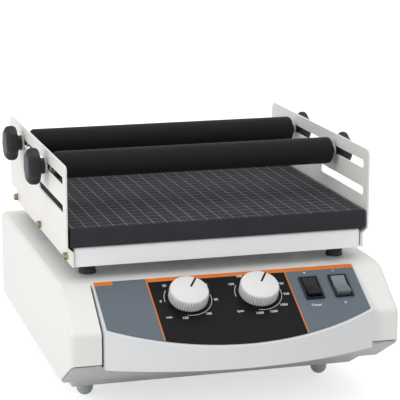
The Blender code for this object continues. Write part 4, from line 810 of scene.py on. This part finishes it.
def seen_rays(tree):
    """One for rays that the camera sees straight, mirrored or refracted, and nought for bounced light."""
    path = tree.nodes.new("ShaderNodeLightPath").outputs
    straight = maths(tree, "MAXIMUM", path["Is Camera Ray"], path["Is Glossy Ray"])
    return maths(tree, "MAXIMUM", straight, path["Is Transmission Ray"])


def backdrop_material(name, colour, lift):
    """Plain pale surface: seen rays get a lift towards white, and shadows stay."""
    material = bpy.data.materials.new(name)
    material.use_nodes = True
    tree = material.node_tree
    tree.nodes.remove(tree.nodes["Principled BSDF"])
    matte = tree.nodes.new("ShaderNodeBsdfDiffuse")
    matte.inputs["Color"].default_value = colour
    glow = tree.nodes.new("ShaderNodeEmission")
    tree.links.new(maths(tree, "MULTIPLY", seen_rays(tree), lift), glow.inputs["Strength"])
    both = tree.nodes.new("ShaderNodeAddShader")
    tree.links.new(matte.outputs["BSDF"], both.inputs[0])
    tree.links.new(glow.outputs["Emission"], both.inputs[1])
    tree.links.new(both.outputs["Shader"], tree.nodes["Material Output"].inputs["Surface"])
    return material


def softbox(name, place, size, power):
    """A square light that looks at the part."""
    lamp = bpy.data.lights.new(name, "AREA")
    lamp.shape = "RECTANGLE"
    lamp.size = lamp.size_y = size
    lamp.energy = power
    holder = add_object(name, lamp)
    holder.location = place
    holder.rotation_mode = "QUATERNION"
    holder.rotation_quaternion = (LIGHTS_AIM - Vector(place)).to_track_quat("-Z", "Y")


floor_mesh = bpy.data.meshes.new("floor")
work = bmesh.new()
bmesh.ops.create_grid(work, x_segments=2, y_segments=2, size=FLOOR_HALF)
work.to_mesh(floor_mesh)
work.free()
floor_mesh.materials.append(backdrop_material("floor_pale", FLOOR_COLOUR, FLOOR_LIFT))
floor = add_object("floor", floor_mesh)

world = bpy.data.worlds.new("studio")
bpy.context.scene.world = world
world.use_nodes = True
sky = world.node_tree.nodes["Background"]
sky.inputs["Color"].default_value = SKY_COLOUR
sky_level = remap(world.node_tree, seen_rays(world.node_tree), (0.0, 1.0), SKY_LEVELS)
world.node_tree.links.new(sky_level, sky.inputs["Strength"])

softbox("key_softbox", place=(-1.5, -0.8, 1.1), size=1.2, power=10.0)
softbox("top_softbox", place=(0.1, 0.1, 1.6), size=1.4, power=5.0)

lens = bpy.data.cameras.new("camera")
lens.lens, lens.sensor_width = CAMERA_LENS, CAMERA_SENSOR
lens.clip_start, lens.clip_end = CAMERA_CLIP
camera = add_object("camera", lens)
camera.location = CAMERA_PLACE
camera.rotation_euler = (CAMERA_TILT, 0.0, CAMERA_TURN)
bpy.context.scene.camera = camera
bpy.context.scene.view_settings.view_transform = "Standard"

bpy.context.view_layer.update()
